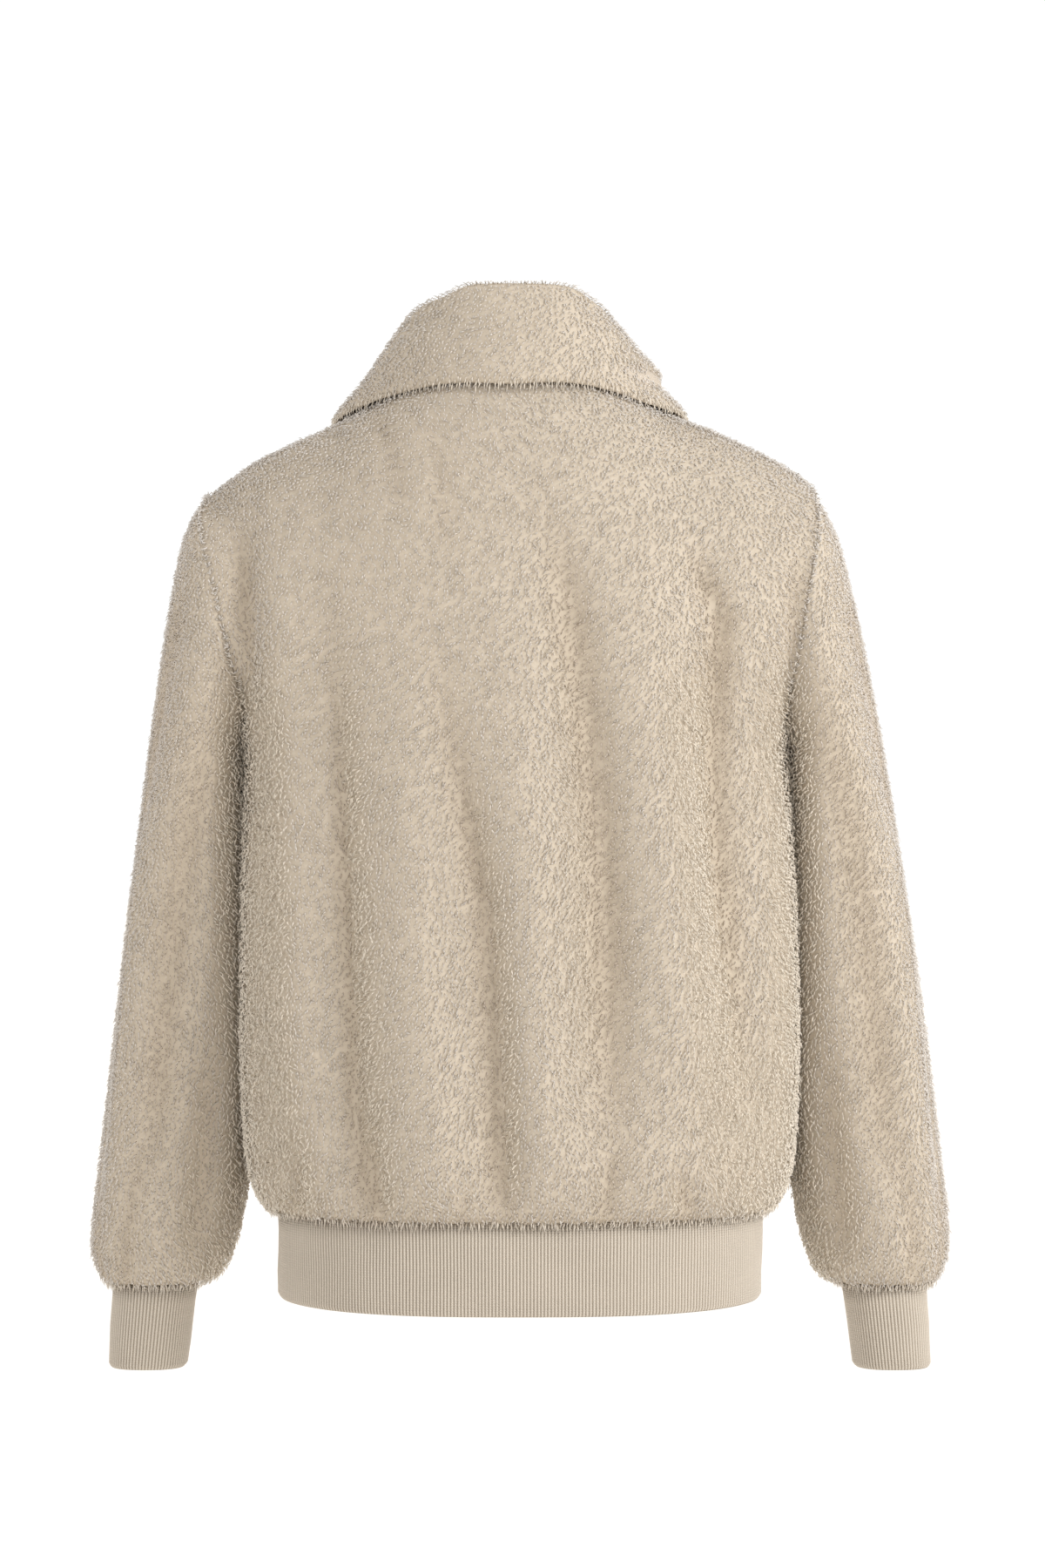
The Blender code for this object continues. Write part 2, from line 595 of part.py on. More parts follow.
def sleeve(name, side, material):
    outer = []
    inner = []
    for row, section in enumerate(SLEEVE):
        outer_ring, inner_ring = sleeve_section(side, section, row)
        outer.append(outer_ring)
        inner.append(inner_ring)
    outer = np.array(outer)
    inner = np.array(inner)
    outer[0, :, 0] += side * SEAM_GAP
    inner[0, :, 0] += side * SEAM_GAP
    return wall_object(name, outer, inner, True, material)


# ---- Ribbed bands ----

def band_ring(end, inset, count, start, stop):
    """Evenly spaced points round a band's section, by the back, from one angle to another."""
    fine = np.linspace(start, stop, BAND_TRACE_STEPS)
    power = 2.0 / BODY_ROUNDNESS
    across = np.sign(np.sin(fine)) * np.abs(np.sin(fine)) ** power
    deep = -np.sign(np.cos(fine)) * np.abs(np.cos(fine)) ** power
    depth = np.where(deep > 0, end.back, end.front) - inset
    x = end.centre_x + (end.half_width - inset) * across
    y = end.centre_y + depth * deep
    run = np.concatenate(([0.0], np.cumsum(np.hypot(np.diff(x), np.diff(y)))))
    places = np.linspace(0.0, run[-1], count)
    return np.stack((np.interp(places, run, x), np.interp(places, run, y), np.full(count, end.z)), axis=-1)


def ribbed_band(name, side, ends, ribs, ribs_per_flat, closed, start, stop, material):
    """A knit band with upright ribs raised on its outer face over a plain inner face."""
    outer_count = 2 * ribs
    inner_count = ribs // ribs_per_flat
    points = []
    for end in ends:
        crest = band_ring(end, 0.0, outer_count + 1, start, stop)
        valley = band_ring(end, RIB_RELIEF, outer_count + 1, start, stop)
        outer = np.where((np.arange(outer_count + 1) % 2 == 0)[:, None], crest, valley)
        inner = band_ring(end, RIB_WALL, inner_count + 1, start, stop)
        if closed:
            outer = outer[:-1]
            inner = inner[:-1]
        points.extend((outer, inner))
    outer_points = len(points[0])
    inner_points = len(points[1])
    level = outer_points + inner_points
    faces = []
    for rib in range(outer_count):
        near = rib
        far = (rib + 1) % outer_points
        faces.append((near, far, level + far, level + near))
    for flat in range(inner_count):
        near = outer_points + flat
        far = outer_points + (flat + 1) % inner_points
        faces.append((far, near, level + near, level + far))
        first = flat * 2 * ribs_per_flat
        arc = [(first + step) % outer_points for step in range(2 * ribs_per_flat + 1)]
        faces.append((*arc, far, near))
        faces.append(tuple(level + index for index in reversed((*arc, far, near))))
    if not closed:
        last = outer_points - 1
        faces.append((0, level, level + outer_points, outer_points))
        faces.append((last, outer_points + inner_points - 1, level + level - 1, level + last))
    stacked = np.concatenate(points)
    stacked[:, 0] *= side
    mesh = bpy.data.meshes.new(name)
    mesh.from_pydata(leaned(stacked).tolist(), [], faces)
    return finish_object(name, mesh, material)


def waistband(material):
    """The waistband runs from one front edge round the back to the other."""
    share = FRONT_EDGE_X / WAISTBAND[0].half_width
    start = math.asin(share ** (BODY_ROUNDNESS / 2.0))
    return ribbed_band(
        "waistband",
        1,
        WAISTBAND,
        WAISTBAND_RIBS,
        WAISTBAND_RIBS_PER_FLAT,
        False,
        start,
        2.0 * math.pi - start,
        material,
    )


def cuff(name, side, material):
    return ribbed_band(
        name, side, CUFF, CUFF_RIBS, CUFF_RIBS_PER_FLAT, True, 0.0, 2.0 * math.pi, material
    )


# ---- Collar ----

def neck_station(angle):
    """The neck seam at an angle from the nape, its outward direction, and its side of the jacket."""
    side = 1 if angle >= 0 else -1
    turn = math.radians(abs(angle))
    if turn <= math.pi / 2:
        seam = (NECK_POINT_X * math.sin(turn), NAPE_Y * math.cos(turn) + SEAM_GAP / 2)
        z = NAPE_Z * math.cos(turn) ** NAPE_DROP
        face = 1.0
    else:
        turn = math.pi - turn
        seam_x = FRONT_EDGE_X + (NECK_POINT_X - FRONT_EDGE_X) * math.sin(turn)
        seam = (seam_x, FRONT_NECK_Y * math.cos(turn) - SEAM_GAP / 2)
        z = FRONT_NECK_Z * math.cos(turn) ** FRONT_NECK_DROP
        face = -1.0
    outward = (side * math.sin(turn), face * math.cos(turn))
    return np.array((side * seam[0], seam[1])), z, np.array(outward)


def body_surface(panels):
    """The outer surfaces of the finished body panels, to lay the collar's leaf on."""
    return [BVHTree.FromObject(panel, bpy.context.evaluated_depsgraph_get()) for panel in panels]


def height_below(trees, x, y):
    """The level of the body's surface under a point seen from above."""
    highest = -math.inf
    for tree in trees:
        hit = tree.ray_cast(Vector((x, y, ABOVE_JACKET_Z)), Vector((0.0, 0.0, -1.0)))
        if hit[0] is not None:
            highest = max(highest, hit[0].z)
    return highest


def rest_level(trees, angle, along):
    """The level of the body under a section of the collar, at a distance out from the neck seam. It is
    read a little nearer the neck too, so that the leaf also stands clear where the body is steep."""
    seam, seam_z, outward = neck_station(angle)
    side = 1 if angle >= 0 else -1
    level = -math.inf
    for nearer in (0.0, COLLAR_LIFT):
        x, y = seam + outward * (along - nearer)
        if abs(angle) > 90:
            x = side * max(side * x, FRONT_EDGE_X + LEAN / 2)
        level = max(level, height_below(trees, float(x) + lean_at(seam_z), float(y)))
    return level


def collar_profile(angle, trees):
    """One closed section of the folded collar: up the stand, over the fold and down the leaf."""
    seam, seam_z, outward = neck_station(angle)
    fold_out = float(table_value(COLLAR, "angle", "fold_out", abs(angle)))
    fold_z = float(table_value(COLLAR, "angle", "fold_z", abs(angle)))
    edge_out = float(table_value(COLLAR, "angle", "edge_out", abs(angle)))
    half = PILE_WALL / 2
    radius = PILE_WALL + COLLAR_CREASE / 2
    centre_z = fold_z - radius
    foot_z = seam_z + SEAM_GAP

    rest = max(rest_level(trees, angle, edge_out + shift) for shift in (half, 0.0, -half))
    top = np.array((fold_out + half + COLLAR_CREASE / 2, centre_z))
    tip = np.array((edge_out, rest + COLLAR_LIFT + half))
    down = (tip - top) / np.linalg.norm(tip - top)
    out = np.array((-down[1], down[0]))
    outer_leaf = []
    inner_leaf = []
    for share in COLLAR_LEAF_SHARES:
        place = top + (tip - top) * share + out * COLLAR_BOW * math.sin(math.pi * share)
        under = place - out * half
        level = rest_level(trees, angle, float(under[0])) + COLLAR_LIFT
        place[1] += max(level - under[1], 0.0)
        outer_leaf.append(tuple(place + out * half))
        inner_leaf.append(tuple(place - out * half))

    foot = (-PILE_WALL * math.cos(NECK_SEAM_SLOPE), foot_z - PILE_WALL * math.sin(NECK_SEAM_SLOPE))
    profile = [foot]
    profile.append(((-PILE_WALL + fold_out - radius) / 2, (foot_z + centre_z) / 2))
    for turn in (180, 135, 90, 45, 0):
        around = math.radians(turn)
        profile.append((fold_out + radius * math.cos(around), centre_z + radius * math.sin(around)))
    profile.extend(outer_leaf)
    profile.append(tuple(tip + down * half * COLLAR_TIP_ROUND))
    profile.extend(reversed(inner_leaf))
    profile.append((fold_out + COLLAR_CREASE / 2, centre_z))
    profile.append((fold_out, centre_z + COLLAR_CREASE / 2))
    profile.append((fold_out - COLLAR_CREASE / 2, centre_z))
    profile.append(((fold_out - COLLAR_CREASE / 2) / 2, (foot_z + centre_z) / 2))
    profile.append((0.0, foot_z))
    points = []
    for along, z in profile:
        place = seam + outward * along
        points.append((float(place[0]), float(place[1]), float(z)))
    return points


def collar(panels, material):
    """The collar, one folded piece from the left front edge round the nape to the right one."""
    trees = body_surface(panels)
    cells = BACK_CELLS
    rings = [collar_profile(360.0 * cell / cells - 180.0, trees) for cell in range(cells + 1)]
    rings[0] = squared_end(rings[0], -1)
    rings[-1] = squared_end(rings[-1], 1)
    size = len(rings[0])
    points = np.concatenate([np.array(ring) for ring in rings])
    faces = []
    for cell in range(cells):
        for step in range(size - 1):
            near = cell * size + step
            faces.append((near, near + 1, near + 1 + size, near + size))
        foot = cell * size + size - 1
        faces.extend(seam_triangles(points, foot, foot + size, cell * size, cell * size + size))
    faces.append(tuple(range(size)))
    faces.append(tuple(cells * size + index for index in reversed(range(size))))
    mesh = bpy.data.meshes.new("collar")
    mesh.from_pydata(leaned(points).tolist(), [], faces)
    return finish_object("collar", mesh, material)


def squared_end(ring, side):
    """The collar ends flush with the front edges."""
    return [(side * FRONT_EDGE_X, y, z) for x, y, z in ring]


# ---- Zip ----

def zip_line():
    """The middle of the cloth's thickness down the centre front, from the band's foot to the neck. It
    is straight over the length of the slider."""
    outer, inner = front_grids(1)
    middle = (outer[:, 0, 1:] + inner[:, 0, 1:]) / 2
    band = [(-(end.front - RIB_WALL / 2), end.z) for end in reversed(WAISTBAND)]
    line = np.concatenate((np.array(band), middle))
    levels = np.linspace(BAND_BOTTOM_Z, SLIDER_Z - STRAIGHT_UNDER_SLIDER, ZIP_LEVELS)
    levels = np.append(levels, FRONT_NECK_Z)
    return np.stack((np.interp(levels, line[:, 1], line[:, 0]), levels), axis=-1)


def zip_tape(name, side, material):
    line = zip_line()
    tangent = np.gradient(line, axis=0)
    tangent /= np.linalg.norm(tangent, axis=1, keepdims=True)
    forward = np.stack((-tangent[:, 1], tangent[:, 0]), axis=-1)
    rings = []
    for place, out in zip(line, forward):
        ring = []
        for x, depth in ((0, 1), (1, 1), (1, -1), (0, -1)):
            y, z = place + out * depth * TAPE_THICKNESS / 2
            width = (FRONT_EDGE_X - SEAM_GAP) if x else TAPE_INNER_X
            ring.append((side * width, float(y), float(z)))
        rings.append(ring)
    faces = []
    for row in range(len(rings) - 1):
        for step in range(4):
            near = row * 4 + step
            far = row * 4 + (step + 1) % 4
            faces.append((near, far, far + 4, near + 4))
    faces.append((0, 1, 2, 3))
    last = (len(rings) - 1) * 4
    faces.append((last + 3, last + 2, last + 1, last))
    mesh = bpy.data.meshes.new(name)
    mesh.from_pydata(leaned(np.concatenate(rings)).tolist(), [], faces)
    return finish_object(name, mesh, material)


def zip_frame():
    """Where the slider sits, and its tilt: +Z of the frame runs up the zip and -Y out of it."""
    low, high = zip_line()[-2:]
    y = float(np.interp(SLIDER_Z, (low[1], high[1]), (low[0], high[0])))
    tilt = math.atan2(float(low[0] - high[0]), float(high[1] - low[1]))
    return Matrix.Translation((lean_at(SLIDER_Z), y, SLIDER_Z)) @ Matrix.Rotation(tilt, 4, "X")


def extruded(name, outline, axis, half, holes=()):
    """A closed prism: an outline, with holes of the same number of points, spun out along X or Z."""
    shape = bmesh.new()
    loops = []
    for end in (-half, half):
        for loop in (outline, *holes):
            corners = []
            for first, second in loop:
                place = (end, first, second) if axis == "X" else (first, second, end)
                corners.append(shape.verts.new(place))
            loops.append(corners)
    count = 1 + len(holes)
    for index in range(count):
        low = loops[index]
        high = loops[index + count]
        for step in range(len(low)):
            after = (step + 1) % len(low)
            shape.faces.new((low[step], low[after], high[after], high[step]))
    for group in (loops[:count], loops[count:]):
        if len(group) == 1:
            shape.faces.new(group[0])
        else:
            for step in range(len(group[0])):
                after = (step + 1) % len(group[0])
                shape.faces.new((group[0][step], group[0][after], group[1][after], group[1][step]))
    mesh = bpy.data.meshes.new(name)
    bmesh.ops.recalc_face_normals(shape, faces=shape.faces)
    shape.to_mesh(mesh)
    shape.free()
    return mesh


def zip_slider(frame, material):
    """Two plates joined by a neck that runs between the tapes, with a bridge for the pull."""
    half = SLIDER_WIDTH / 2
    neck = SLIDER_NECK / 2
    near = SLIDER_STANDOFF
    far = SLIDER_STANDOFF + SLIDER_PLATE
    outline = (
        (-half, -far),
        (half, -far),
        (half, -near),
        (neck, -near),
        (neck, near),
        (half, near),
        (half, far),
        (-half, far),
        (-half, near),
        (-neck, near),
        (-neck, -near),
        (-half, -near),
    )
    mesh = extruded("zip_slider", outline, "Z", SLIDER_LENGTH / 2)
    slider = finish_object("zip_slider", mesh, material)
    slider.matrix_world = frame
    root = -(far - BRIDGE_ROOT)
    crown = -(far + BRIDGE_HEIGHT)
    reach = BRIDGE_LENGTH / 2
    inside = reach - BRIDGE_BAR
    shoulder = crown + BRIDGE_CHAMFER[0]
    flat = reach - BRIDGE_CHAMFER[1]
    under = crown + BRIDGE_BAR
    arch = (
        (root, -reach),
        (shoulder, -reach),
        (crown, -flat),
        (crown, flat),
        (shoulder, reach),
        (root, reach),
        (root, inside),
        (under, inside - BRIDGE_TAPER),
        (under, -inside + BRIDGE_TAPER),
        (root, -inside),
    )
    bridge_mesh = extruded("bridge", arch, "X", BRIDGE_WIDTH / 2)
    bridge = finish_object("slider_bridge", bridge_mesh, material)
    bridge.matrix_world = frame
    bridge.hide_render = True
    bridge.display_type = "WIRE"
    join = slider.modifiers.new("bridge", "BOOLEAN")
    join.operation = "UNION"
    join.solver = "EXACT"
    join.object = bridge
    return slider


def zip_pull(frame, material):
    """The pull tab, with its origin on the axis of its top bar under the slider's bridge."""
    half = PULL_WIDTH / 2
    bar = PULL_THICKNESS / 2
    foot = -PULL_LENGTH
    corner = PULL_CORNER
    eye = PULL_EYE_WIDTH / 2
    eye_low = -bar - PULL_EYE_LENGTH
    outline = (
        (-half + corner, bar),
        (half - corner, bar),
        (half, -bar),
        (half, foot + corner),
        (half - corner, foot),
        (-half + corner, foot),
        (-half, foot + corner),
        (-half, -bar),
    )
    hole = (
        (-eye, -bar),
        (eye, -bar),
        (eye, (eye_low - bar) / 2),
        (eye, eye_low),
        (eye / 2, eye_low),
        (-eye / 2, eye_low),
        (-eye, eye_low),
        (-eye, (eye_low - bar) / 2),
    )
    flat = extruded("zip_pull", outline, "Z", bar, (hole,))
    flat.transform(Matrix.Rotation(math.radians(90), 4, "X"))
    pull = finish_object("zip_pull", flat, material)
    pull.matrix_world = frame @ Matrix.Translation((0.0, -PULL_AXIS_OUT, 0.0))
    return pull


def build():
    clear_scene()
    pile = plain_material("cream pile", PILE_CREAM, CLOTH_ROUGHNESS, 0.0)
    rib = plain_material("cream rib knit", RIB_CREAM, CLOTH_ROUGHNESS, 0.0)
    tape = plain_material("zip tape", TAPE_CREAM, CLOTH_ROUGHNESS, 0.0)
    metal = plain_material("zip metal", ZIP_METAL, METAL_ROUGHNESS, 1.0)
    back = back_panel(pile)
    front_left = front_panel("front_left", 1, pile)
    front_right = front_panel("front_right", -1, pile)
    sleeve("sleeve_left", 1, pile)
    sleeve("sleeve_right", -1, pile)
    collar((back, front_left, front_right), pile)
    waistband(rib)
    cuff("cuff_left", 1, rib)
    cuff("cuff_right", -1, rib)
    zip_tape("zip_tape_left", 1, tape)
    zip_tape("zip_tape_right", -1, tape)
    frame = zip_frame()
    zip_slider(frame, metal)
    zip_pull(frame, metal)


build()
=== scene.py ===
"""The look of a cream pile jacket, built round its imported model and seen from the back.

The jacket is made as a maker would cut it: knit-backed pile pieces, two kinds of rib band and a front
zip. Each pile piece is a thin shell with thousands of small combed locks standing on it. Metres, +Z up,
the jacket faces -Y and its own left is +X.
"""

from __future__ import annotations

import json
import logging
import math
from contextlib import contextmanager
from dataclasses import dataclass, field
from enum import Enum
from functools import partialmethod
from typing import Any, Iterator, Sequence

import bmesh
import bpy
import numpy as np
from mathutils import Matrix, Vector
from mathutils.bvhtree import BVHTree
from mathutils.kdtree import KDTree

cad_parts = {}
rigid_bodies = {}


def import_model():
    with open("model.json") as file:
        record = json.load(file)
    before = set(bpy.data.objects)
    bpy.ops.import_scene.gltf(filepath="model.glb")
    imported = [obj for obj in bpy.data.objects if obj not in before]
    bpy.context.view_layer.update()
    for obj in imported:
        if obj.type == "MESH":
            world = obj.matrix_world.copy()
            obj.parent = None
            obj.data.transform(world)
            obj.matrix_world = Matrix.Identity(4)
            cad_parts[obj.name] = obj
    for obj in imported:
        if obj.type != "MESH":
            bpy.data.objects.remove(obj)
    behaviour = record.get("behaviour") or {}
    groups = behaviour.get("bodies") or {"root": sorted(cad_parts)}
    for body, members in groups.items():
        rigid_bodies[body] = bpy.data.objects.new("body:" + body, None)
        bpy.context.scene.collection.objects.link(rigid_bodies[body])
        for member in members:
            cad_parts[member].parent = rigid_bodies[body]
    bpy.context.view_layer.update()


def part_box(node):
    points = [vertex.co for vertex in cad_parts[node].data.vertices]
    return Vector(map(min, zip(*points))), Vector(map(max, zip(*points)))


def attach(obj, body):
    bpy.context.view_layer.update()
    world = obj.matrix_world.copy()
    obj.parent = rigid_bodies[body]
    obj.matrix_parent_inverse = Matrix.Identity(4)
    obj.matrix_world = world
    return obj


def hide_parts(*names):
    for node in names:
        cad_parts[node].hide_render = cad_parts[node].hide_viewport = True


LOG = logging.getLogger("jacket")
MERGE = 0.00001
CLOTH_NODES = (
    "back", "front_left", "front_right", "sleeve_left", "sleeve_right", "collar", "waistband", "cuff_left",
    "cuff_right", "zip_tape_left", "zip_tape_right",
)

Array = np.ndarray
Colour = tuple[float, float, float]


# ---- Small tools ----


def smooth_step(value: Array | float) -> Array:
    """Rise softly from 0 to 1 while value goes from 0 to 1."""
    value = np.clip(value, 0.0, 1.0)
    return value * value * (3.0 - 2.0 * value)


def ramp(value: Array | float, start: float, run: float) -> Array:
    """Rise softly from 0 to 1 while value goes from a start over a run."""
    return smooth_step((value - start) / run)


def unit(vectors: Array) -> Array:
    """Scale each row to length one.

    Args:
        vectors: Any array whose last axis holds vectors.

    Returns:
        The same array with rows of length one.
    """
    return vectors / np.maximum(np.linalg.norm(vectors, axis=-1, keepdims=True), 1e-9)


def drift(points: Array, cell: float, seed: int) -> Array:
    """Wander softly between -1 and 1 over space, as a sum of a few waves.

    Args:
        points: Places in metres, one row each.
        cell: About how far apart the highs and lows are, in metres.
        seed: Picks one pattern.

    Returns:
        One value for each point.
    """
    waves = np.random.default_rng(seed)
    total = np.zeros(len(points))
    count = 9
    for _ in range(count):
        way = unit(waves.normal(size=3))
        pitch = cell * waves.uniform(0.75, 1.7)
        total += np.sin(points @ way * (math.tau / 2.0 / pitch) + waves.uniform(0.0, math.tau))
    return np.clip(total / math.sqrt(count), -1.0, 1.0)


def pick_only(piece: bpy.types.Object) -> None:
    """Select one object alone and make it active."""
    bpy.ops.object.select_all(action="DESELECT")
    piece.select_set(True)
    bpy.context.view_layer.objects.active = piece


def apply_modifiers(piece: bpy.types.Object) -> None:
    """Apply every modifier of a piece, in order."""
    pick_only(piece)
    for modifier in list(piece.modifiers):
        bpy.ops.object.modifier_apply(modifier=modifier.name)


def settle(piece: bpy.types.Object) -> None:
    """Put a piece's place, turn and size into its mesh."""
    pick_only(piece)
    bpy.ops.object.transform_apply(location=True, rotation=True, scale=True)


def mesh_points(mesh: bpy.types.Mesh) -> Array:
    """Read a mesh's points as rows of x, y and z."""
    points = np.zeros(len(mesh.vertices) * 3, np.float32)
    mesh.vertices.foreach_get("co", points)
    return points.reshape(-1, 3).astype(float)


def put_points(mesh: bpy.types.Mesh, points: Array) -> None:
    """Write rows of x, y and z back to a mesh."""
    mesh.vertices.foreach_set("co", points.astype(np.float32).ravel())
    mesh.update()


@contextmanager
def edited(mesh: bpy.types.Mesh) -> Iterator[bmesh.types.BMesh]:
    """Open a mesh for editing and write it back at the end."""
    shape = bmesh.new()
    shape.from_mesh(mesh)
    yield shape
    shape.to_mesh(mesh)
    shape.free()


def link(name: str, data: bpy.types.ID) -> bpy.types.Object:
    """Place a mesh, a camera or a light in the scene under a name."""
    piece = bpy.data.objects.new(name, data)
    bpy.context.scene.collection.objects.link(piece)
    return piece


def node_copy(node: str, name: str) -> bpy.types.Object:
    """Copy a CAD node without its material, under a new name."""
    mesh = bpy.data.objects[node].data.copy()
    mesh.materials.clear()
    return link(name, mesh)


def search_tree(points: Sequence[Any]) -> KDTree:
    """Make a tree that finds the nearest of these points."""
    tree = KDTree(len(points))
    for number, point in enumerate(points):
        tree.insert(point, number)
    tree.balance()
    return tree


def bevel_edges(piece: bpy.types.Object, width: float, segments: int, angle: float | None = None) -> None:
    """Round the sharp edges of a piece.

    Args:
        piece: The piece.
        width: How wide the rounding is, in metres.
        segments: How many faces it has.
        angle: The least angle of an edge that is rounded, in degrees, or None for Blender's own.
    """
    edge = piece.modifiers.new("edge", "BEVEL")
    edge.width = width
    edge.segments = segments
    if angle is not None:
        edge.limit_method = "ANGLE"
        edge.angle_limit = math.radians(angle)
    apply_modifiers(piece)


def mesh_from_faces(name: str, points: Array, faces: Array) -> bpy.types.Mesh:
    """Make a mesh from points and faces that all have the same number of corners.

    Args:
        name: The mesh's name.
        points: Rows of x, y and z.
        faces: Rows of point numbers, all of one length.

    Returns:
        The new mesh, smooth shaded.
    """
    mesh = bpy.data.meshes.new(name)
    corners = faces.shape[1]
    mesh.vertices.add(len(points))
    mesh.vertices.foreach_set("co", points.astype(np.float32).ravel())
    mesh.loops.add(faces.size)
    mesh.loops.foreach_set("vertex_index", faces.astype(np.int32).ravel())
    mesh.polygons.add(len(faces))
    mesh.polygons.foreach_set("loop_start", np.arange(len(faces), dtype=np.int32) * corners)
    mesh.update(calc_edges=True)
    mesh.shade_smooth()
    return mesh


def set_uv(mesh: bpy.types.Mesh, point_uv: Array, name: str = "UVMap") -> None:
    """Give a mesh a UV map with one place for each point.

    Args:
        mesh: The mesh to map.
        point_uv: One row of u and v for each point.
        name: The map's name.
    """
    corner_points = np.zeros(len(mesh.loops), np.int32)
    mesh.loops.foreach_get("vertex_index", corner_points)
    layer = mesh.uv_layers.new(name=name)
    layer.data.foreach_set("uv", point_uv[corner_points].astype(np.float32).ravel())


def set_tone(mesh: bpy.types.Mesh, name: str, values: Array) -> None:
    """Store one number for each point of a mesh, for its material to read."""
    layer = mesh.attributes.new(name, "FLOAT", "POINT")
    layer.data.foreach_set("value", values.astype(np.float32))


# ---- Shader graphs, written as expressions ----


class Signal:
    """A socket of a shader graph that takes part in Python sums."""

    def __init__(self, graph: "Graph", socket: bpy.types.NodeSocket) -> None:
        """Remember the socket and the graph it belongs to."""
        self.graph = graph
        self.socket = socket

    def joined_by(self, operation: str, other: "Signal | float" = 0.0) -> "Signal":
        """Join this signal and another by a Math node."""
        return self.graph.math(operation, self, other)

    __add__ = __radd__ = partialmethod(joined_by, "ADD")
    __mul__ = __rmul__ = partialmethod(joined_by, "MULTIPLY")
    __sub__ = partialmethod(joined_by, "SUBTRACT")
    __truediv__ = partialmethod(joined_by, "DIVIDE")
    __pow__ = partialmethod(joined_by, "POWER")
    sine = partialmethod(joined_by, "SINE")
    size = partialmethod(joined_by, "ABSOLUTE")
    fraction = partialmethod(joined_by, "FRACT")

    def __rsub__(self, other: "Signal | float") -> "Signal":
        """Subtract from a number."""
        return self.graph.math("SUBTRACT", other, self)

    def clipped(self) -> "Signal":
        """Keep within 0 and 1."""
        return self.graph.math("MINIMUM", self.graph.math("MAXIMUM", self, 0.0), 1.0)


class Graph:
    """The nodes of a material or a world and the few ways this scene joins them."""

    def __init__(self, name: str, kept_in: Any = None, shader: str = "Principled BSDF") -> None:
        """Start a new graph.

        Args:
            name: The name of the new material or world.
            kept_in: Blender's list that it goes into, or None for the materials.
            shader: The name of its shader node.
        """
        self.owner = (bpy.data.materials if kept_in is None else kept_in).new(name)
        self.owner.use_nodes = True
        self.tree = self.owner.node_tree
        self.shader = self.tree.nodes[shader]

    def node(self, kind: str, settings: dict[str, Any], inputs: dict[str | int, Any]) -> bpy.types.Node:
        """Make one node.

        Args:
            kind: The node's type.
            settings: Attributes of the node, set before its sockets.
            inputs: Values or signals for its input sockets, by name or number.

        Returns:
            The new node.
        """
        made = self.tree.nodes.new(kind)
        for key, value in settings.items():
            setattr(made, key, value)
        for key, value in inputs.items():
            self.feed(made.inputs[key], value)
        return made

    def feed(self, socket: bpy.types.NodeSocket, value: Any) -> None:
        """Link a signal to a socket, or set the socket to a value."""
        if isinstance(value, Signal):
            self.tree.links.new(value.socket, socket)
        else:
            socket.default_value = value

    def out(self, node: bpy.types.Node, key: str | int = 0) -> Signal:
        """Wrap one of a node's outputs."""
        return Signal(self, node.outputs[key])

    def math(self, operation: str, first: Any, second: Any = 0.0) -> Signal:
        """Join one or two values by a Math node."""
        return self.out(self.node("ShaderNodeMath", {"operation": operation}, {0: first, 1: second}))

    def object_place(self) -> Signal:
        """The surface's place on the object, in metres."""
        return self.out(self.node("ShaderNodeTexCoord", {}, {}), "Object")

    def uv(self) -> tuple[Signal, Signal]:
        """The surface's own u and v."""
        place = self.out(self.node("ShaderNodeTexCoord", {}, {}), "UV")
        split = self.node("ShaderNodeSeparateXYZ", {}, {0: place})
        return self.out(split, 0), self.out(split, 1)

    def attribute(self, name: str) -> Signal:
        """A number stored on the mesh."""
        return self.out(self.node("ShaderNodeAttribute", {"attribute_name": name}, {}), "Fac")

    def noise(self, place: Signal, per_metre: float, detail: float = 2.0, rough: float = 0.5) -> Signal:
        """Soft noise round 0.5.

        Args:
            place: Where to read it.
            per_metre: How many lumps there are in a metre.
            detail: How many finer layers it has.
            rough: How strong the finer layers are.

        Returns:
            The noise as a signal.
        """
        inputs = {"Vector": place, "Scale": per_metre, "Detail": detail, "Roughness": rough}
        return self.out(self.node("ShaderNodeTexNoise", {}, inputs), "Fac")

    def mix(self, share: Any, first: Any, second: Any) -> Signal:
        """Go from one colour to another by a share.

        Args:
            share: 0 for the first colour and 1 for the second.
            first: A colour or a signal.
            second: A colour or a signal.

        Returns:
            The colour between them.
        """
        made = self.node("ShaderNodeMix", {"data_type": "RGBA"}, {"Factor": share})
        for key, value in (("A", first), ("B", second)):
            socket = [s for s in made.inputs if s.name == key and s.type == "RGBA"][0]
            self.feed(socket, value if isinstance(value, Signal) else (*value, 1.0))
        return Signal(self, [s for s in made.outputs if s.type == "RGBA"][0])

    def tinted(self, colour: Signal, by: Signal) -> Signal:
        """Brighten or darken a colour by a factor near 1."""
        settings = {"operation": "SCALE"}
        made = self.node("ShaderNodeVectorMath", settings, {0: colour, "Scale": by})
        return self.out(made)

    def bump(self, height: Signal, depth: float, under: Signal | None = None) -> Signal:
        """Raise the surface a little by a height.

        Args:
            height: The relief, from 0 to 1.
            depth: How many metres 1 stands for.
            under: A coarser bump that this one lies on.

        Returns:
            The normal to feed to the shader.
        """
        inputs: dict[str | int, Any] = {"Height": height, "Distance": depth, "Strength": 1.0}
        if under is not None:
            inputs["Normal"] = under
        return self.out(self.node("ShaderNodeBump", {}, inputs))

    def finish(self, sockets: dict[str, Any]) -> Any:
        """Feed the shader's sockets and return the material or world."""
        for key, value in sockets.items():
            self.feed(self.shader.inputs[key], value)
        return self.owner


# ---- Finishes ----


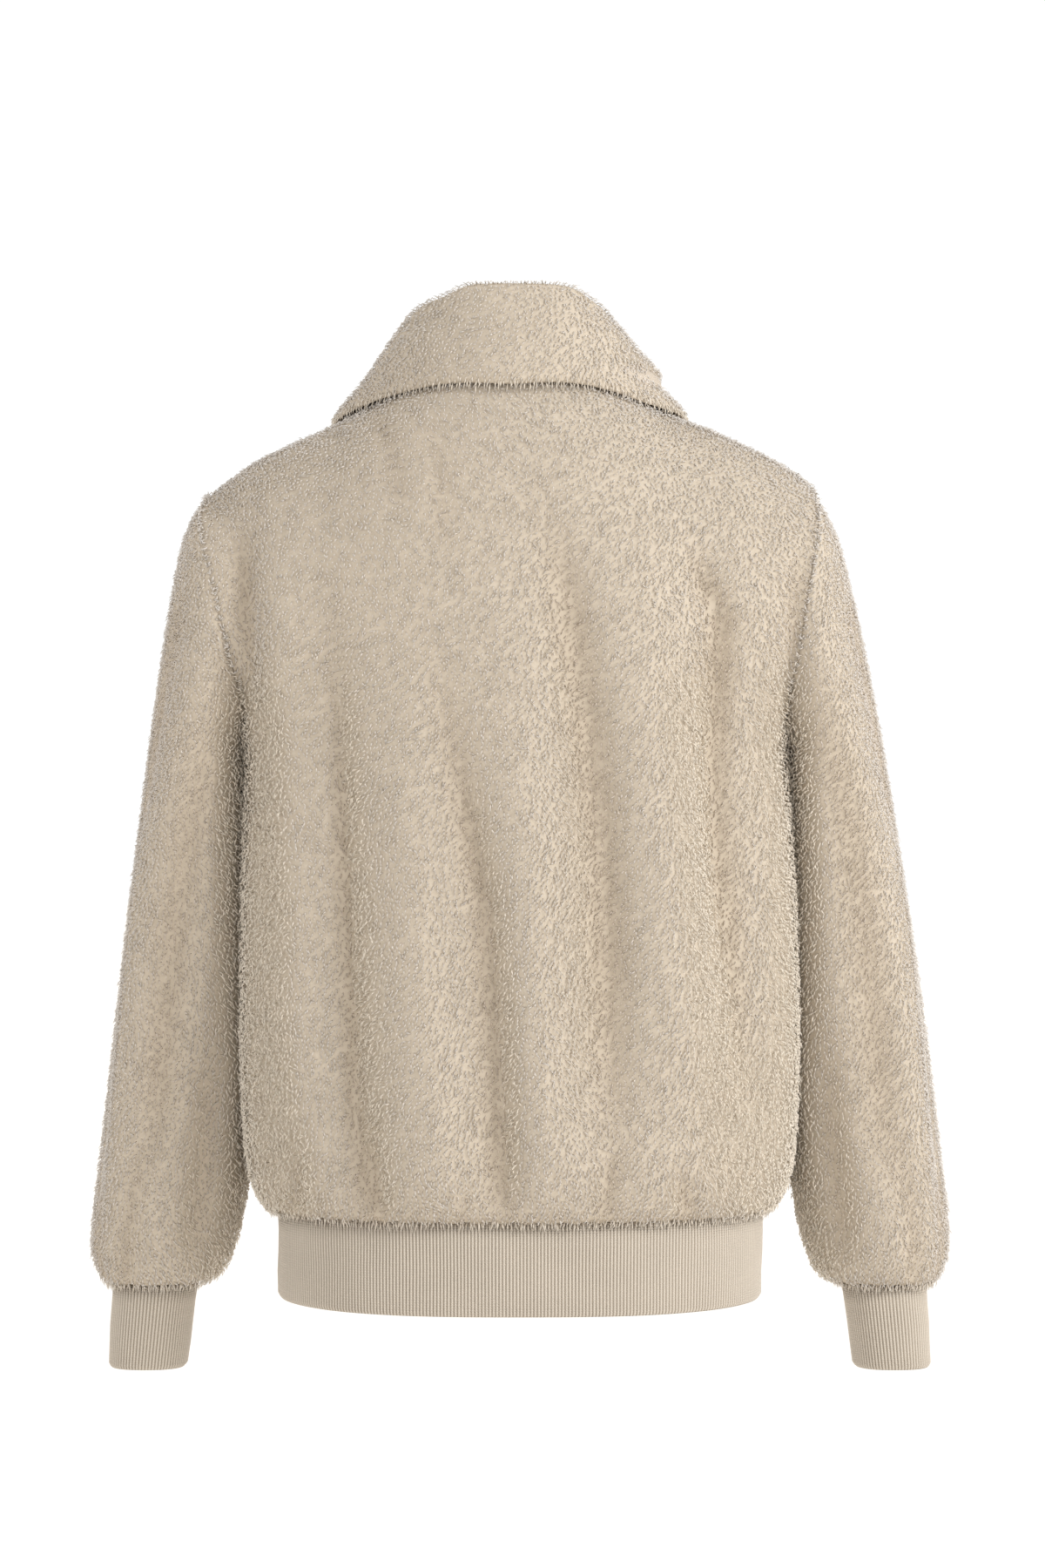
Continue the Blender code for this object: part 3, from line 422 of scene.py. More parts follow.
@dataclass(frozen=True)
class PileFinish:
    """Curly pile: matt locks, each a little different, with painted shade that darkens them towards their roots and
    makes them darker and warmer in the troughs, and painted light that makes them paler where they are tucked between
    the body and a sleeve or hang at a hem.
    """

    # Painted shade: the darker root colour stands for the shade deep in the pile
    root: Colour = (0.545, 0.460, 0.362)
    tip: Colour = (0.718, 0.680, 0.640)
    # Painted shade: the darker, warmer colour of the locks in a trough
    trough: Colour = (0.622, 0.538, 0.456)
    # Painted light: the paler, warmer colour painted on locks that sit in shade, tucked by a sleeve or hanging at a
    # hem
    painted_light_colour: Colour = (0.805, 0.732, 0.625)
    mottle_per_metre: float = 24.0

    def make(self) -> bpy.types.Material:
        """Build the material of the locks."""
        graph = Graph("cream_pile_locks")
        place = graph.object_place()
        _, along_v = graph.uv()
        lock = graph.attribute("lock_tone")
        hollow = graph.attribute("hollow")
        mottle = graph.noise(place, self.mottle_per_metre, 1.0)
        # Painted trough shade: the crown darkens and warms with the crease's depth, stored in the hollow tone
        crown = graph.mix((hollow + (mottle - 0.5) * 0.3).clipped(), self.tip, self.trough)
        # Painted shade: each lock darkens from its crown down to its root
        colour = graph.mix((along_v * 1.6).clipped(), self.root, crown)
        # Painted light: tucked and hem locks turn paler by their stored share
        colour = graph.mix(graph.attribute("painted_light_share") * 0.85, colour, self.painted_light_colour)
        colour = graph.tinted(colour, 0.89 + lock * 0.22)
        return graph.finish(
            {
                "Base Color": colour,
                "Roughness": 0.93,
                "Sheen Weight": 0.20,
                "Sheen Roughness": 0.55,
                "Sheen Tint": (1.0, 0.95, 0.88, 1.0),
                "Specular IOR Level": 0.15,
            }
        )


@dataclass(frozen=True)
class PileGroundFinish:
    """The felted foot of the pile, seen between the locks and deeper in the troughs, coloured darker than the locks as
    painted shade between them and darker still in the troughs as painted trough shade.
    """

    # Painted shade: the foot's colours are darker than the locks, for the shade between them
    pale: Colour = (0.665, 0.594, 0.500)
    deep: Colour = (0.590, 0.510, 0.408)
    trough: Colour = (0.560, 0.477, 0.370)
    curls_per_metre: float = 620.0

    def make(self) -> bpy.types.Material:
        """Build the material of the ground under the locks."""
        graph = Graph("cream_pile_ground")
        place = graph.object_place()
        hollow = graph.attribute("hollow")
        curls = graph.noise(place, self.curls_per_metre, 1.0, 0.6)
        # Painted trough shade: the foot darkens with the crease's depth
        foot = graph.mix((hollow * 0.9).clipped(), self.pale, self.trough)
        return graph.finish(
            {
                "Base Color": graph.mix(((curls - 0.3) * 1.8).clipped(), self.deep, foot),
                "Roughness": 0.94,
                "Specular IOR Level": 0.1,
            }
        )


@dataclass(frozen=True)
class KnitReverseFinish:
    """The plain knit back of the pile cloth, with fine wales and courses and painted shade between its loops."""

    pale: Colour = (0.680, 0.605, 0.515)
    # The colour of the painted shade where the loops dip
    deep: Colour = (0.520, 0.445, 0.360)
    wales_per_metre: float = 620.0
    courses_per_metre: float = 800.0

    def make(self) -> bpy.types.Material:
        """Build the material of the inside of the pile cloth."""
        graph = Graph("knit_reverse")
        place = graph.object_place()
        u, v = graph.uv()
        wander = graph.noise(place, 60.0) * 0.6
        wale = ((u * self.wales_per_metre + wander) * math.tau).sine()
        course = ((v * self.courses_per_metre + wander) * math.tau).sine()
        loops = (wale * course * 0.25 + course * 0.25 + 0.5).clipped()
        fuzz = graph.noise(place, 900.0, 3.0, 0.6)
        return graph.finish(
            {
                # Painted shade: darker where the loops and the fuzz dip, following the bump
                "Base Color": graph.mix((loops * 0.6 + fuzz * 0.4).clipped(), self.deep, self.pale),
                "Roughness": 0.93,
                "Normal": graph.bump(fuzz, 0.00015, graph.bump(loops, 0.00025)),
                "Specular IOR Level": 0.15,
            }
        )


@dataclass(frozen=True)
class RibFinish:
    """Fine rib knit, with painted shade in its valleys: u counts ribs and v is the height in metres."""

    crest: Colour = (0.740, 0.676, 0.590)
    # Painted shade: the dark colour of the rib valleys
    valley: Colour = (0.300, 0.238, 0.172)
    courses_per_metre: float = 620.0
    stitch_depth: float = 0.00022

    def make(self) -> bpy.types.Material:
        """Build the material of the ribbed bands."""
        graph = Graph("cream_rib_knit")
        place = graph.object_place()
        u, v = graph.uv()
        across = (u.fraction() - 0.5).size() * 2.0
        shade = (1.0 - across) ** 0.7
        legs = ((v * self.courses_per_metre + across * 0.55).fraction() - 0.5).size() * 2.0
        fuzz = graph.noise(place, 1100.0, 3.0, 0.6)
        cloudy = graph.noise(place, 35.0, 2.0)
        # Painted shade: the colour darkens into each rib's valley and a little where the fuzz dips
        colour = graph.mix((shade * 0.85 + fuzz * 0.15).clipped(), self.valley, self.crest)
        # Painted shade: slightly darker between the stitch legs; the cloudy noise is random tone
        colour = graph.tinted(colour, 0.95 + cloudy * 0.10 - legs * 0.05)
        return graph.finish(
            {
                "Base Color": colour,
                "Roughness": 0.86 + fuzz * 0.1,
                "Normal": graph.bump(fuzz, 0.00012, graph.bump(1.0 - legs, self.stitch_depth)),
                "Sheen Weight": 0.15,
                "Specular IOR Level": 0.2,
            }
        )


@dataclass(frozen=True)
class TapeFinish:
    """Woven zip tape with a fine herringbone, painted darker between its threads as painted shade."""

    pale: Colour = (0.600, 0.525, 0.435)
    # The colour of the painted shade between the threads
    deep: Colour = (0.430, 0.365, 0.290)
    threads_per_metre: float = 1500.0

    def make(self) -> bpy.types.Material:
        """Build the material of the zip tapes."""
        graph = Graph("woven_tape")
        u, v = graph.uv()
        fold = (u * 220.0).fraction() - 0.5
        weave = (((v + fold.size() * 0.004) * self.threads_per_metre).fraction() - 0.5).size() * 2.0
        fuzz = graph.noise(graph.object_place(), 1500.0, 2.0)
        return graph.finish(
            {
                # Painted shade: darker where the weave dips between threads, following the bump
                "Base Color": graph.mix((weave * 0.7 + fuzz * 0.3).clipped(), self.deep, self.pale),
                "Roughness": 0.82,
                "Normal": graph.bump(weave, 0.00018),
                "Specular IOR Level": 0.25,
            }
        )


@dataclass(frozen=True)
class ZipMetalFinish:
    """Cast and polished zip metal, duller where it is handled."""

    bright: Colour = (0.640, 0.600, 0.540)
    dull: Colour = (0.430, 0.395, 0.345)

    def make(self) -> bpy.types.Material:
        """Build the material of the teeth, slider and pull."""
        graph = Graph("zip_metal")
        place = graph.object_place()
        cloud = graph.noise(place, 260.0, 3.0)
        scratch = graph.noise(place, 2400.0, 3.0, 0.65)
        return graph.finish(
            {
                "Base Color": graph.mix(cloud, self.dull, self.bright),
                "Metallic": 1.0,
                "Roughness": 0.24 + scratch * 0.18 + cloud * 0.08,
                "Normal": graph.bump(scratch, 0.00003),
            }
        )


# ---- Pile cloth ----


class Face(Enum):
    """Which side of a cloth wall a face belongs to, as its material number."""

    OUTER = 0
    INNER = 1
    RIM = 2
    SEAM = 3


@dataclass(frozen=True)
class Crease:
    """A soft ridge, or a trough where depth is negative, that runs down a cloth piece.

    Its path is given from the top down, as places across and levels. A place across is x in metres on a
    body panel, and degrees round a sleeve: 0 on its outer side, 90 at its back and -90 at its front. The
    crease swells from nothing at both ends to its full depth at its peak.
    """

    path: tuple[tuple[float, float], ...]
    width: float
    depth: float
    peak: float = 0.6

    def strength(self, across: Array, z: Array) -> Array:
        """How much of the crease there is at each place, from 0 to 1."""
        places, levels = np.array(self.path).T
        middle = np.interp(-z, -levels, places)
        share = (z - levels[0]) / (levels[-1] - levels[0])
        inside = np.clip(share, 0.0, 1.0)
        rise = np.where(inside < self.peak, inside / self.peak, (1.0 - inside) / (1.0 - self.peak))
        aside = (across - middle + 180.0) % 360.0 - 180.0
        return np.exp(-((aside / self.width) ** 2)) * smooth_step(1.7 * rise)

    def height(self, across: Array, z: Array) -> Array:
        """How far the cloth stands out of its plain form at each place."""
        return self.depth * self.strength(across, z)


@dataclass(frozen=True)
class LockStyle:
    """One comma-shaped lock: its sizes in metres, and how locks vary."""

    root_depth: float = 0.0026
    length: float = 0.0050
    width: float = 0.00058
    lift: float = 0.0009
    spacing: float = 0.00222
    stray_share: float = 0.26
    stray_lift: float = 0.0021
    swirl: float = 0.30
    small_swirl: float = 0.18
    jitter: float = 0.50
    calm: float = 0.78
    curl: float = 0.0010
    knee: float = 0.45
    knee_rise: float = 1.0
    tip_rise: float = 0.86
    hang_length: float = 0.0074
    collar_hang: float = 1.35
    size_spread: float = 0.14
    # What part of its reach a lock's root lies behind its place
    behind: float = 0.25
    # Comb: the slope's share in it, how far locks cross a seam, and how a hem's locks sway
    lean: float = 0.35
    crossing: float = 0.85
    crossing_run: float = 0.0080
    sway: float = 0.25
    # Beside a seam, and tucked between the body and a sleeve, locks are larger and stand up more
    seam_reach: float = 0.0070
    seam_growth: float = 0.25
    seam_lift: float = 0.0008
    tuck_growth: float = 0.30
    tuck_lift: float = 0.0024


LOCK_SIDES = 3


@dataclass(frozen=True)
class Dent:
    """A place of the shoulder that is worn round: its depth, its middle and how far it spreads, in metres."""

    depth: float
    across: float
    z: float
    spread: float


SHOULDER_DENTS = (Dent(0.0060, 0.212, -0.058, 0.027), Dent(0.0030, 0.217, -0.059, 0.011))
# The left shoulder hangs this much lower and the right one this much higher, outside and above these lines
SHOULDER_TILT = 0.0026
TILT_FROM = 0.090
TILT_ABOVE = -0.115
TILT_RUN = 0.050


def worn(points: Array) -> Array:
    """Round the shoulder corners a little and let the jacket's left shoulder hang lower than its right.

    Args:
        points: Rows of x, y and z of any piece.

    Returns:
        The moved points. The same rule moves every piece, so their seams stay closed.
    """
    side = np.sign(points[:, 0])
    across = np.abs(points[:, 0])
    corner = np.zeros(len(points))
    for dent in SHOULDER_DENTS:
        aside = (across - dent.across) ** 2 + (points[:, 2] - dent.z) ** 2
        corner += dent.depth * np.exp(-aside / dent.spread**2)
    outer = ramp(across, TILT_FROM, TILT_RUN)
    tilt = SHOULDER_TILT * side * outer * ramp(points[:, 2], TILT_ABOVE, TILT_RUN)
    moved = points.copy()
    moved[:, 0] -= 0.8 * corner * side
    moved[:, 2] -= 0.6 * corner + tilt
    return moved


@dataclass(frozen=True)
class CollarShape:
    """How the collar settles once worn: narrower and rounder on top, with its leaf laid on the back."""

    neck_half_width: float = 0.0895
    nape_reach: float = 0.0620
    throat_reach: float = 0.0880
    squeeze: float = 0.098
    shoulder_drop: float = 0.0070
    leaf_drop: float = 0.0030
    leaf_rest: float = 0.0016

    def beyond_neck(self, points: Array) -> Array:
        """How far out from the neck seam each point lies, seen from above, in metres."""
        depth = np.where(points[:, 1] > 0.0, self.nape_reach, self.throat_reach)
        run = np.hypot(points[:, 0] / self.neck_half_width, points[:, 1] / depth)
        reach = np.hypot(points[:, 0], points[:, 1])
        return reach * (1.0 - 1.0 / np.maximum(run, 1e-6))

    def leaf(self, points: Array) -> Array:
        """How far each point belongs to the lower half of the collar's leaf."""
        return ramp(self.beyond_neck(points), 0.008, 0.008)

    def settled(self, points: Array) -> Array:
        """Move the collar's points to their worn places.

        Args:
            points: Rows of x, y and z.

        Returns:
            The moved points. The neck seam stays where it is.
        """
        across = np.abs(points[:, 0])
        free = np.maximum(ramp(points[:, 2], 0.012, 0.030), self.leaf(points))
        behind = ramp(points[:, 1], -0.060, 0.060)
        moved = points.copy()
        high = ramp(points[:, 2], -0.012, 0.034)
        moved[:, 0] *= 1.0 - self.squeeze * (0.42 + 0.58 * high) * free
        corner = ramp(across, 0.034, 0.030) * ramp(points[:, 2], 0.040, 0.030)
        moved[:, 2] -= self.shoulder_drop * corner
        middle = 1.0 - ramp(across, 0.080, 0.045)
        moved[:, 2] -= self.leaf_drop * self.leaf(points) * middle * behind
        moved[:, 1] -= self.leaf_rest * self.leaf(points) * ramp(points[:, 1], 0.0, 0.030)
        return moved


@dataclass
class Fur:
    """Points of one piece's surface where locks stand."""

    places: Array
    normals: Array
    seam: Array
    seam_way: Array
    hem: Array

    def part(self, chosen: Array) -> "Fur":
        """Keep only the chosen places."""
        kept = (self.places, self.normals, self.seam, self.seam_way, self.hem)
        return Fur(*(values[chosen] for values in kept))


class PilePiece:
    """One cut piece of pile cloth: a thin knit-backed shell and the locks on it."""

    # The felted foot of the pile lies this far under the cloth's surface, which the tips stand out of
    ground_depth: float = 0.0013
    seam_gap: float = 0.0008
    seam_closing: float = 0.0004
    sharp_edge: float = math.radians(50)
    full_trough: float = 0.0058
    # At a hem creases flatten out, so that the pile still covers the band under it
    hem_run: float = 0.020
    hem_trough: float = 0.0003
    free_trough: float = 0.0100
    hem_ridge: float = 0.0030
    free_ridge: float = 0.0060

    def __init__(self, node: str, creases: Sequence[Crease], seed: int) -> None:
        """Take the form of a CAD node.

        Args:
            node: The CAD node whose place the cloth takes.
            creases: The soft creases laid on it.
            seed: Picks its lock pattern.
        """
        self.node = node
        self.creases = creases
        self.seed = seed
        self.is_sleeve = node.startswith("sleeve")
        self.is_collar = node == "collar"
        self.hem_below = -0.59 if self.is_sleeve else -0.53
        self.hem_level = -0.6053 if self.is_sleeve else -0.5503
        self.form = self.merged_form()

    def merged_form(self) -> bpy.types.Object:
        """Copy the CAD node as a closed quad mesh whose faces know their side of the wall."""
        piece = node_copy(self.node, f"{self.node}_cloth")
        with edited(piece.data) as shape:
            bmesh.ops.remove_doubles(shape, verts=shape.verts, dist=MERGE)
            self.sort_faces(shape)
            bmesh.ops.join_triangles(
                shape,
                faces=shape.faces,
                cmp_materials=True,
                angle_face_threshold=math.radians(28),
                angle_shape_threshold=math.radians(60),
            )
        return piece

    def sort_faces(self, shape: bmesh.types.BMesh) -> None:
        """Name the seams, where the piece meets its neighbours, the free rims and the wall's two sides."""
        neighbours = self.neighbour_trees()
        for face in shape.faces:
            centre = face.calc_center_median()
            meets = any(tree.find_nearest(centre, self.seam_gap)[0] is not None for tree in neighbours)
            face.tag = meets
            face.material_index = Face.SEAM.value if meets else Face.RIM.value
        regions: list[list[bmesh.types.BMFace]] = []
        for start in shape.faces:
            if start.tag:
                continue
            start.tag = True
            region = [start]
            for face in region:
                for edge in face.edges:
                    if edge.calc_face_angle(0.0) > self.sharp_edge:
                        continue
                    for other in edge.link_faces:
                        if not other.tag:
                            other.tag = True
                            region.append(other)
            regions.append(region)
        regions.sort(key=lambda region: -sum(face.calc_area() for face in region))
        if self.is_collar:
            sides = (regions[:1], regions[1:3])
        else:
            pair = sorted(regions[:2], key=self.outwardness, reverse=True)
            sides = (pair[:1], pair[1:])
        for side, chosen in zip((Face.OUTER, Face.INNER), sides):
            for face in (face for region in chosen for face in region):
                face.material_index = side.value
        sharp = shape.edges.layers.float.new("crease_edge")
        for edge in shape.edges:
            at_seam = [face.material_index == Face.SEAM.value for face in edge.link_faces]
            edge[sharp] = 1.0 if any(at_seam) and not all(at_seam) else 0.0
        if self.is_collar:
            self.round_leaf_edge(shape)
        LOG.info("%s: regions of %s faces", self.node, [len(region) for region in regions[:4]])

    @staticmethod
    def round_leaf_edge(shape: bmesh.types.BMesh) -> None:
        """Let the collar's pile go round the lower edge of its leaf."""
        turned = []
        for edge in shape.edges:
            if len(edge.link_faces) != 2 or edge.calc_face_angle(0.0) > math.radians(80):
                continue
            first, second = edge.link_faces
            if {first.material_index, second.material_index} != {Face.OUTER.value, Face.RIM.value}:
                continue
            rim = first if first.material_index == Face.RIM.value else second
            place = np.array(rim.calc_center_median())[None]
            if CollarShape().leaf(place)[0] > 0.5:
                turned.append(rim)
        for face in turned:
            face.material_index = Face.OUTER.value

    def neighbour_trees(self) -> list[BVHTree]:
        """Search trees of the CAD nodes round this one."""
        trees = []
        for name in CLOTH_NODES:
            if name != self.node:
                shape = bmesh.new()
                shape.from_mesh(bpy.data.objects[name].data)
                trees.append(BVHTree.FromBMesh(shape))
                shape.free()
        return trees

    def outwardness(self, region: list[bmesh.types.BMFace]) -> float:
        """Say how far a region of faces looks away from the middle of the piece's hollow."""
        middle = self.hollow_middle()
        total = 0.0
        for face in region:
            centre = face.calc_center_median()
            away = Vector((centre.x - middle.x, centre.y - middle.y, 0.0))
            total += face.calc_area() * face.normal.dot(away.normalized())
        return total

    def hollow_middle(self) -> Vector:
        """The middle of the hollow that the piece goes round."""
        if self.is_sleeve:
            low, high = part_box(self.node)
            return (low + high) / 2
        return Vector((0.0, 0.0, 0.0))

    def subdivided(self, name: str, levels: int) -> bpy.types.Object:
        """Copy the form, round it and lay the creases on it.

        Args:
            name: The copy's name.
            levels: How often it is subdivided.

        Returns:
            The copy, with its modifiers applied.
        """
        piece = link(name, self.form.data.copy())
        rounder = piece.modifiers.new("round", "SUBSURF")
        rounder.levels = levels
        rounder.render_levels = levels
        apply_modifiers(piece)
        points = mesh_points(piece.data)
        height = self.crease_height(points)
        above_hem = ramp(points[:, 2], self.hem_level, self.hem_run)
        lowest = -self.hem_trough - self.free_trough * above_hem
        height = np.clip(height, lowest, self.hem_ridge + self.free_ridge * above_hem)
        outer = self.side_points(piece.data, Face.OUTER)
        inner = self.side_points(piece.data, Face.INNER) & ~outer
        toward = self.side_normals(piece.data, Face.OUTER)
        toward[inner] = -self.side_normals(piece.data, Face.INNER)[inner]
        self.follow(points, toward, outer | inner)
        points += toward * height[:, None] + self.side_normals(piece.data, Face.SEAM) * self.seam_closing
        if self.is_collar:
            points = CollarShape().settled(points)
        put_points(piece.data, worn(points))
        return piece

    @staticmethod
    def side_normals(mesh: bpy.types.Mesh, side: Face) -> Array:
        """Each point's normal among the faces of one side alone, and nothing where it has none."""
        total = np.zeros((len(mesh.vertices), 3))
        for face in mesh.polygons:
            if face.material_index == side.value:
                total[list(face.vertices)] += np.array(face.normal) * face.area
        return unit(total)

    @staticmethod
    def follow(points: Array, toward: Array, led: Array) -> None:
        """Let the points inside a rim move the way the nearest point of the cloth's sides does."""
        leaders = np.flatnonzero(led)
        tree = search_tree(points[leaders])
        for number in np.flatnonzero(~led):
            toward[number] = toward[leaders[tree.find(points[number])[1]]]

    @staticmethod
    def side_points(mesh: bpy.types.Mesh, side: Face) -> Array:
        """Mark the points that belong to faces of one side."""
        marked = np.zeros(len(mesh.vertices), bool)
        for face in mesh.polygons:
            if face.material_index == side.value:
                marked[list(face.vertices)] = True
        return marked

    def fur_points(self, spacing: float) -> Fur:
        """Scatter evenly spaced places over the outer side.

        Args:
            spacing: The least distance between two locks.

        Returns:
            The places, their normals and how near each lies to a seam.
        """
        piece = self.subdivided(f"{self.node}_fur_bed", 2)
        with edited(piece.data) as shape:
            spare = [face for face in shape.faces if face.material_index != Face.OUTER.value]
            bmesh.ops.delete(shape, geom=spare, context="FACES")
            edge_points = [vert.co.copy() for vert in shape.verts if vert.is_boundary]
        group = self.scatter_group(spacing)
        scatter = piece.modifiers.new("scatter", "NODES")
        scatter.node_group = group
        seen = piece.evaluated_get(bpy.context.evaluated_depsgraph_get())
        mesh = seen.to_mesh()
        places = mesh_points(mesh)
        normals = np.zeros(len(places) * 3, np.float32)
        mesh.attributes["facing"].data.foreach_get("vector", normals)
        seen.to_mesh_clear()
        bpy.data.objects.remove(piece, do_unlink=True)
        bpy.data.node_groups.remove(group)
        tree = search_tree(edge_points)
        nearest = [tree.find(place) for place in places]
        seam = np.array([found[2] for found in nearest])
        seam_way = unit(np.array([found[0] for found in nearest]) - places)
        normals = unit(normals.reshape(-1, 3).astype(float))
        return Fur(places, normals, seam, seam_way, self.hem_share(places, normals, seam))

    def hem_share(self, places: Array, normals: Array, seam: Array) -> Array:
        """How far each place belongs to a hem whose locks hang over what is below it."""
        near = 1.0 - ramp(seam, 0.002, 0.006)
        if self.is_collar:
            return near * CollarShape().leaf(places)
        under = ramp(-normals[:, 2], 0.15, 0.45)
        return near * under * (places[:, 2] < self.hem_below)

    def scatter_group(self, spacing: float) -> bpy.types.NodeTree:
        """Make the geometry nodes that scatter places and note which way the surface faces."""
        group = bpy.data.node_groups.new(f"{self.node}_scatter", "GeometryNodeTree")
        group.interface.new_socket("Geometry", in_out="INPUT", socket_type="NodeSocketGeometry")
        group.interface.new_socket("Geometry", in_out="OUTPUT", socket_type="NodeSocketGeometry")
        entry = group.nodes.new("NodeGroupInput")
        leave = group.nodes.new("NodeGroupOutput")
        facing = group.nodes.new("GeometryNodeInputNormal")
        store = group.nodes.new("GeometryNodeStoreNamedAttribute")
        store.data_type = "FLOAT_VECTOR"
        store.domain = "POINT"
        store.inputs["Name"].default_value = "facing"
        scatter = group.nodes.new("GeometryNodeDistributePointsOnFaces")
        scatter.distribute_method = "POISSON"
        scatter.inputs["Distance Min"].default_value = spacing
        scatter.inputs["Density Max"].default_value = 5.0 / spacing**2
        scatter.inputs["Seed"].default_value = self.seed
        points = group.nodes.new("GeometryNodePointsToVertices")
        links = group.links
        links.new(entry.outputs[0], store.inputs["Geometry"])
        links.new(facing.outputs[0], store.inputs["Value"])
        links.new(store.outputs[0], scatter.inputs["Mesh"])
        links.new(scatter.outputs["Points"], points.inputs["Points"])
        links.new(points.outputs[0], leave.inputs[0])
        return group

    def across(self, points: Array) -> Array:
        """Each point's place across the piece, as its creases measure it."""
        if not self.is_sleeve:
            return points[:, 0]
        side = 1.0 if self.node.endswith("left") else -1.0
        levels, middle_x, middle_y = SLEEVE_MIDDLE.T
        x = points[:, 0] * side - np.interp(-points[:, 2], -levels, middle_x)
        y = points[:, 1] - np.interp(-points[:, 2], -levels, middle_y)
        return np.degrees(np.arctan2(y, x))

    def crease_height(self, points: Array) -> Array:
        """How far the creases together lift each point."""
        across = self.across(points)
        return sum((crease.height(across, points[:, 2]) for crease in self.creases), np.zeros(len(points)))

    def hollow(self, points: Array) -> Array:
        """How deep in a trough each point lies: 0 outside and on ridges, and 1 in the deepest."""
        return np.clip(-self.crease_height(points) / self.full_trough, 0.0, 1.0)

    def liveliness(self, fur: Fur, style: LockStyle) -> Array:
        """How unruly the locks are: calm where the cloth is stretched smooth, and full in the troughs."""
        patches = 0.5 + 0.5 * drift(fur.places, 0.060, self.seed + 8)
        return style.calm + (1.0 - style.calm) * np.clip(self.hollow(fur.places) * 1.4 + 0.3 * patches, 0.0, 1.0)

    def tucked(self, fur: Fur) -> Array:
        """How far each place is tucked between the body and a sleeve, where its locks stand fuller and are painted
        paler as painted light.
        """
        if self.is_collar:
            return np.zeros(len(fur.places))
        inward = -1.0 if self.is_sleeve else 1.0
        facing = fur.normals[:, 0] * np.sign(fur.places[:, 0]) * inward
        return ramp(facing, 0.30, 0.40) * ramp(-fur.places[:, 2], 0.150, 0.060)

    def make_shell(self, finishes: dict[Face, bpy.types.Material]) -> bpy.types.Object:
        """Build the knit-backed shell, whose outer side is the felted foot of the pile."""
        shell = self.subdivided(f"{self.node}_shell", 1)
        mesh = shell.data
        points = mesh_points(mesh) - self.side_normals(mesh, Face.OUTER) * self.ground_depth
        put_points(mesh, points)
        for side in Face:
            mesh.materials.append(finishes[side])
        set_uv(mesh, self.girth_uv(points))
        # The trough depth, for the painted trough shade of the ground
        set_tone(mesh, "hollow", self.hollow(points))
        mesh.shade_smooth()
        return shell

    def girth_uv(self, points: Array) -> Array:
        """Map u to the way round the hollow and v to the height, both in metres."""
        middle = self.hollow_middle()
        away = points[:, :2] - np.array((middle.x, middle.y))
        girth = float(np.mean(np.linalg.norm(away, axis=1)))
        return np.stack((np.arctan2(away[:, 0], away[:, 1]) * girth, points[:, 2]), axis=1)

    def combed(self, fur: Fur, spin: np.random.Generator, style: LockStyle) -> Array:
        """Lay a comb direction at each place: downwards, in slow swirls, and none quite alike.

        Args:
            fur: Where the locks stand.
            spin: Picks each lock's own turn.
            style: How locks vary.

        Returns:
            Unit directions along the surface; those at a hem hang straight down instead.
        """
        normals = fur.normals
        down = np.tile(np.array((0.0, 0.0, -1.0)), (len(normals), 1))
        down += style.lean * normals * np.array((1.0, 1.0, 0.0))
        down = unit(down - normals * np.sum(down * normals, axis=1, keepdims=True))
        side = np.cross(normals, down)
        turn = style.swirl * drift(fur.places, 0.050, self.seed + 3)
        turn += style.small_swirl * drift(fur.places, 0.009, self.seed + 4)
        turn += spin.normal(0.0, style.jitter, len(normals)) * self.liveliness(fur, style)
        lying = unit(down * np.cos(turn)[:, None] + side * np.sin(turn)[:, None])
        crossing = style.crossing * (1.0 - ramp(fur.seam, 0.0, style.crossing_run))[:, None]
        lying = unit(lying * (1.0 - crossing) + fur.seam_way * crossing)
        falling = unit(np.array((0.0, 0.0, -1.0)) + style.sway * side * np.sin(turn)[:, None])
        return unit(lying * (1.0 - fur.hem[:, None]) + falling * fur.hem[:, None])

    def make_locks(self, fur: Fur, style: LockStyle, name: str) -> bpy.types.Object:
        """Raise a lock at each place.

        Args:
            fur: Where the locks stand.
            style: Their sizes and how they vary.
            name: The piece's name.

        Returns:
            One mesh of closed locks, with a UV map and three tones for each lock.
        """
        count = len(fur.places)
        spin = np.random.default_rng(self.seed + 11)
        comb = self.combed(fur, spin, style)
        side = unit(np.cross(fur.normals, comb))
        clump = drift(fur.places, 0.014, self.seed + 5)
        lively = self.liveliness(fur, style)
        length = style.length * (1.25 - 0.40 * lively + 0.06 * clump + spin.normal(0.0, style.size_spread, count))
        tuft = 0.75 + 0.35 * drift(fur.places, 0.011, self.seed + 6)
        hang = style.hang_length * (style.collar_hang if self.is_collar else 1.0)
        length += (hang - style.length) * fur.hem * tuft * spin.uniform(0.5, 1.1, count)
        beside = (1.0 - ramp(fur.seam, 0.0, style.seam_reach)) * (1.0 - fur.hem)
        length *= 1.0 + style.seam_growth * beside
        width = style.width * (1.0 + style.seam_growth * beside + spin.normal(0.0, style.size_spread, count))
        stray = (spin.random(count) < style.stray_share * (0.4 + 0.6 * lively)).astype(float)
        lift = style.lift * (0.6 + 0.6 * lively) + 0.0006 * lively * (0.2 * clump + spin.normal(0.0, 0.8, count))
        lift += style.seam_lift * beside * spin.uniform(0.0, 1.0, count)
        tuck = self.tucked(fur) * (1.0 - fur.hem)
        lift += style.tuck_lift * tuck * spin.uniform(0.2, 1.0, count)
        length *= 1.0 + style.tuck_growth * tuck
        bend = spin.choice((-1.0, 1.0), count) * style.curl * spin.uniform(0.3, 1.0, count) * lively
        knee_height = -style.root_depth + (style.root_depth + lift) * style.knee_rise
        tip_height = -style.root_depth + (style.root_depth + lift) * style.tip_rise + stray * style.stray_lift
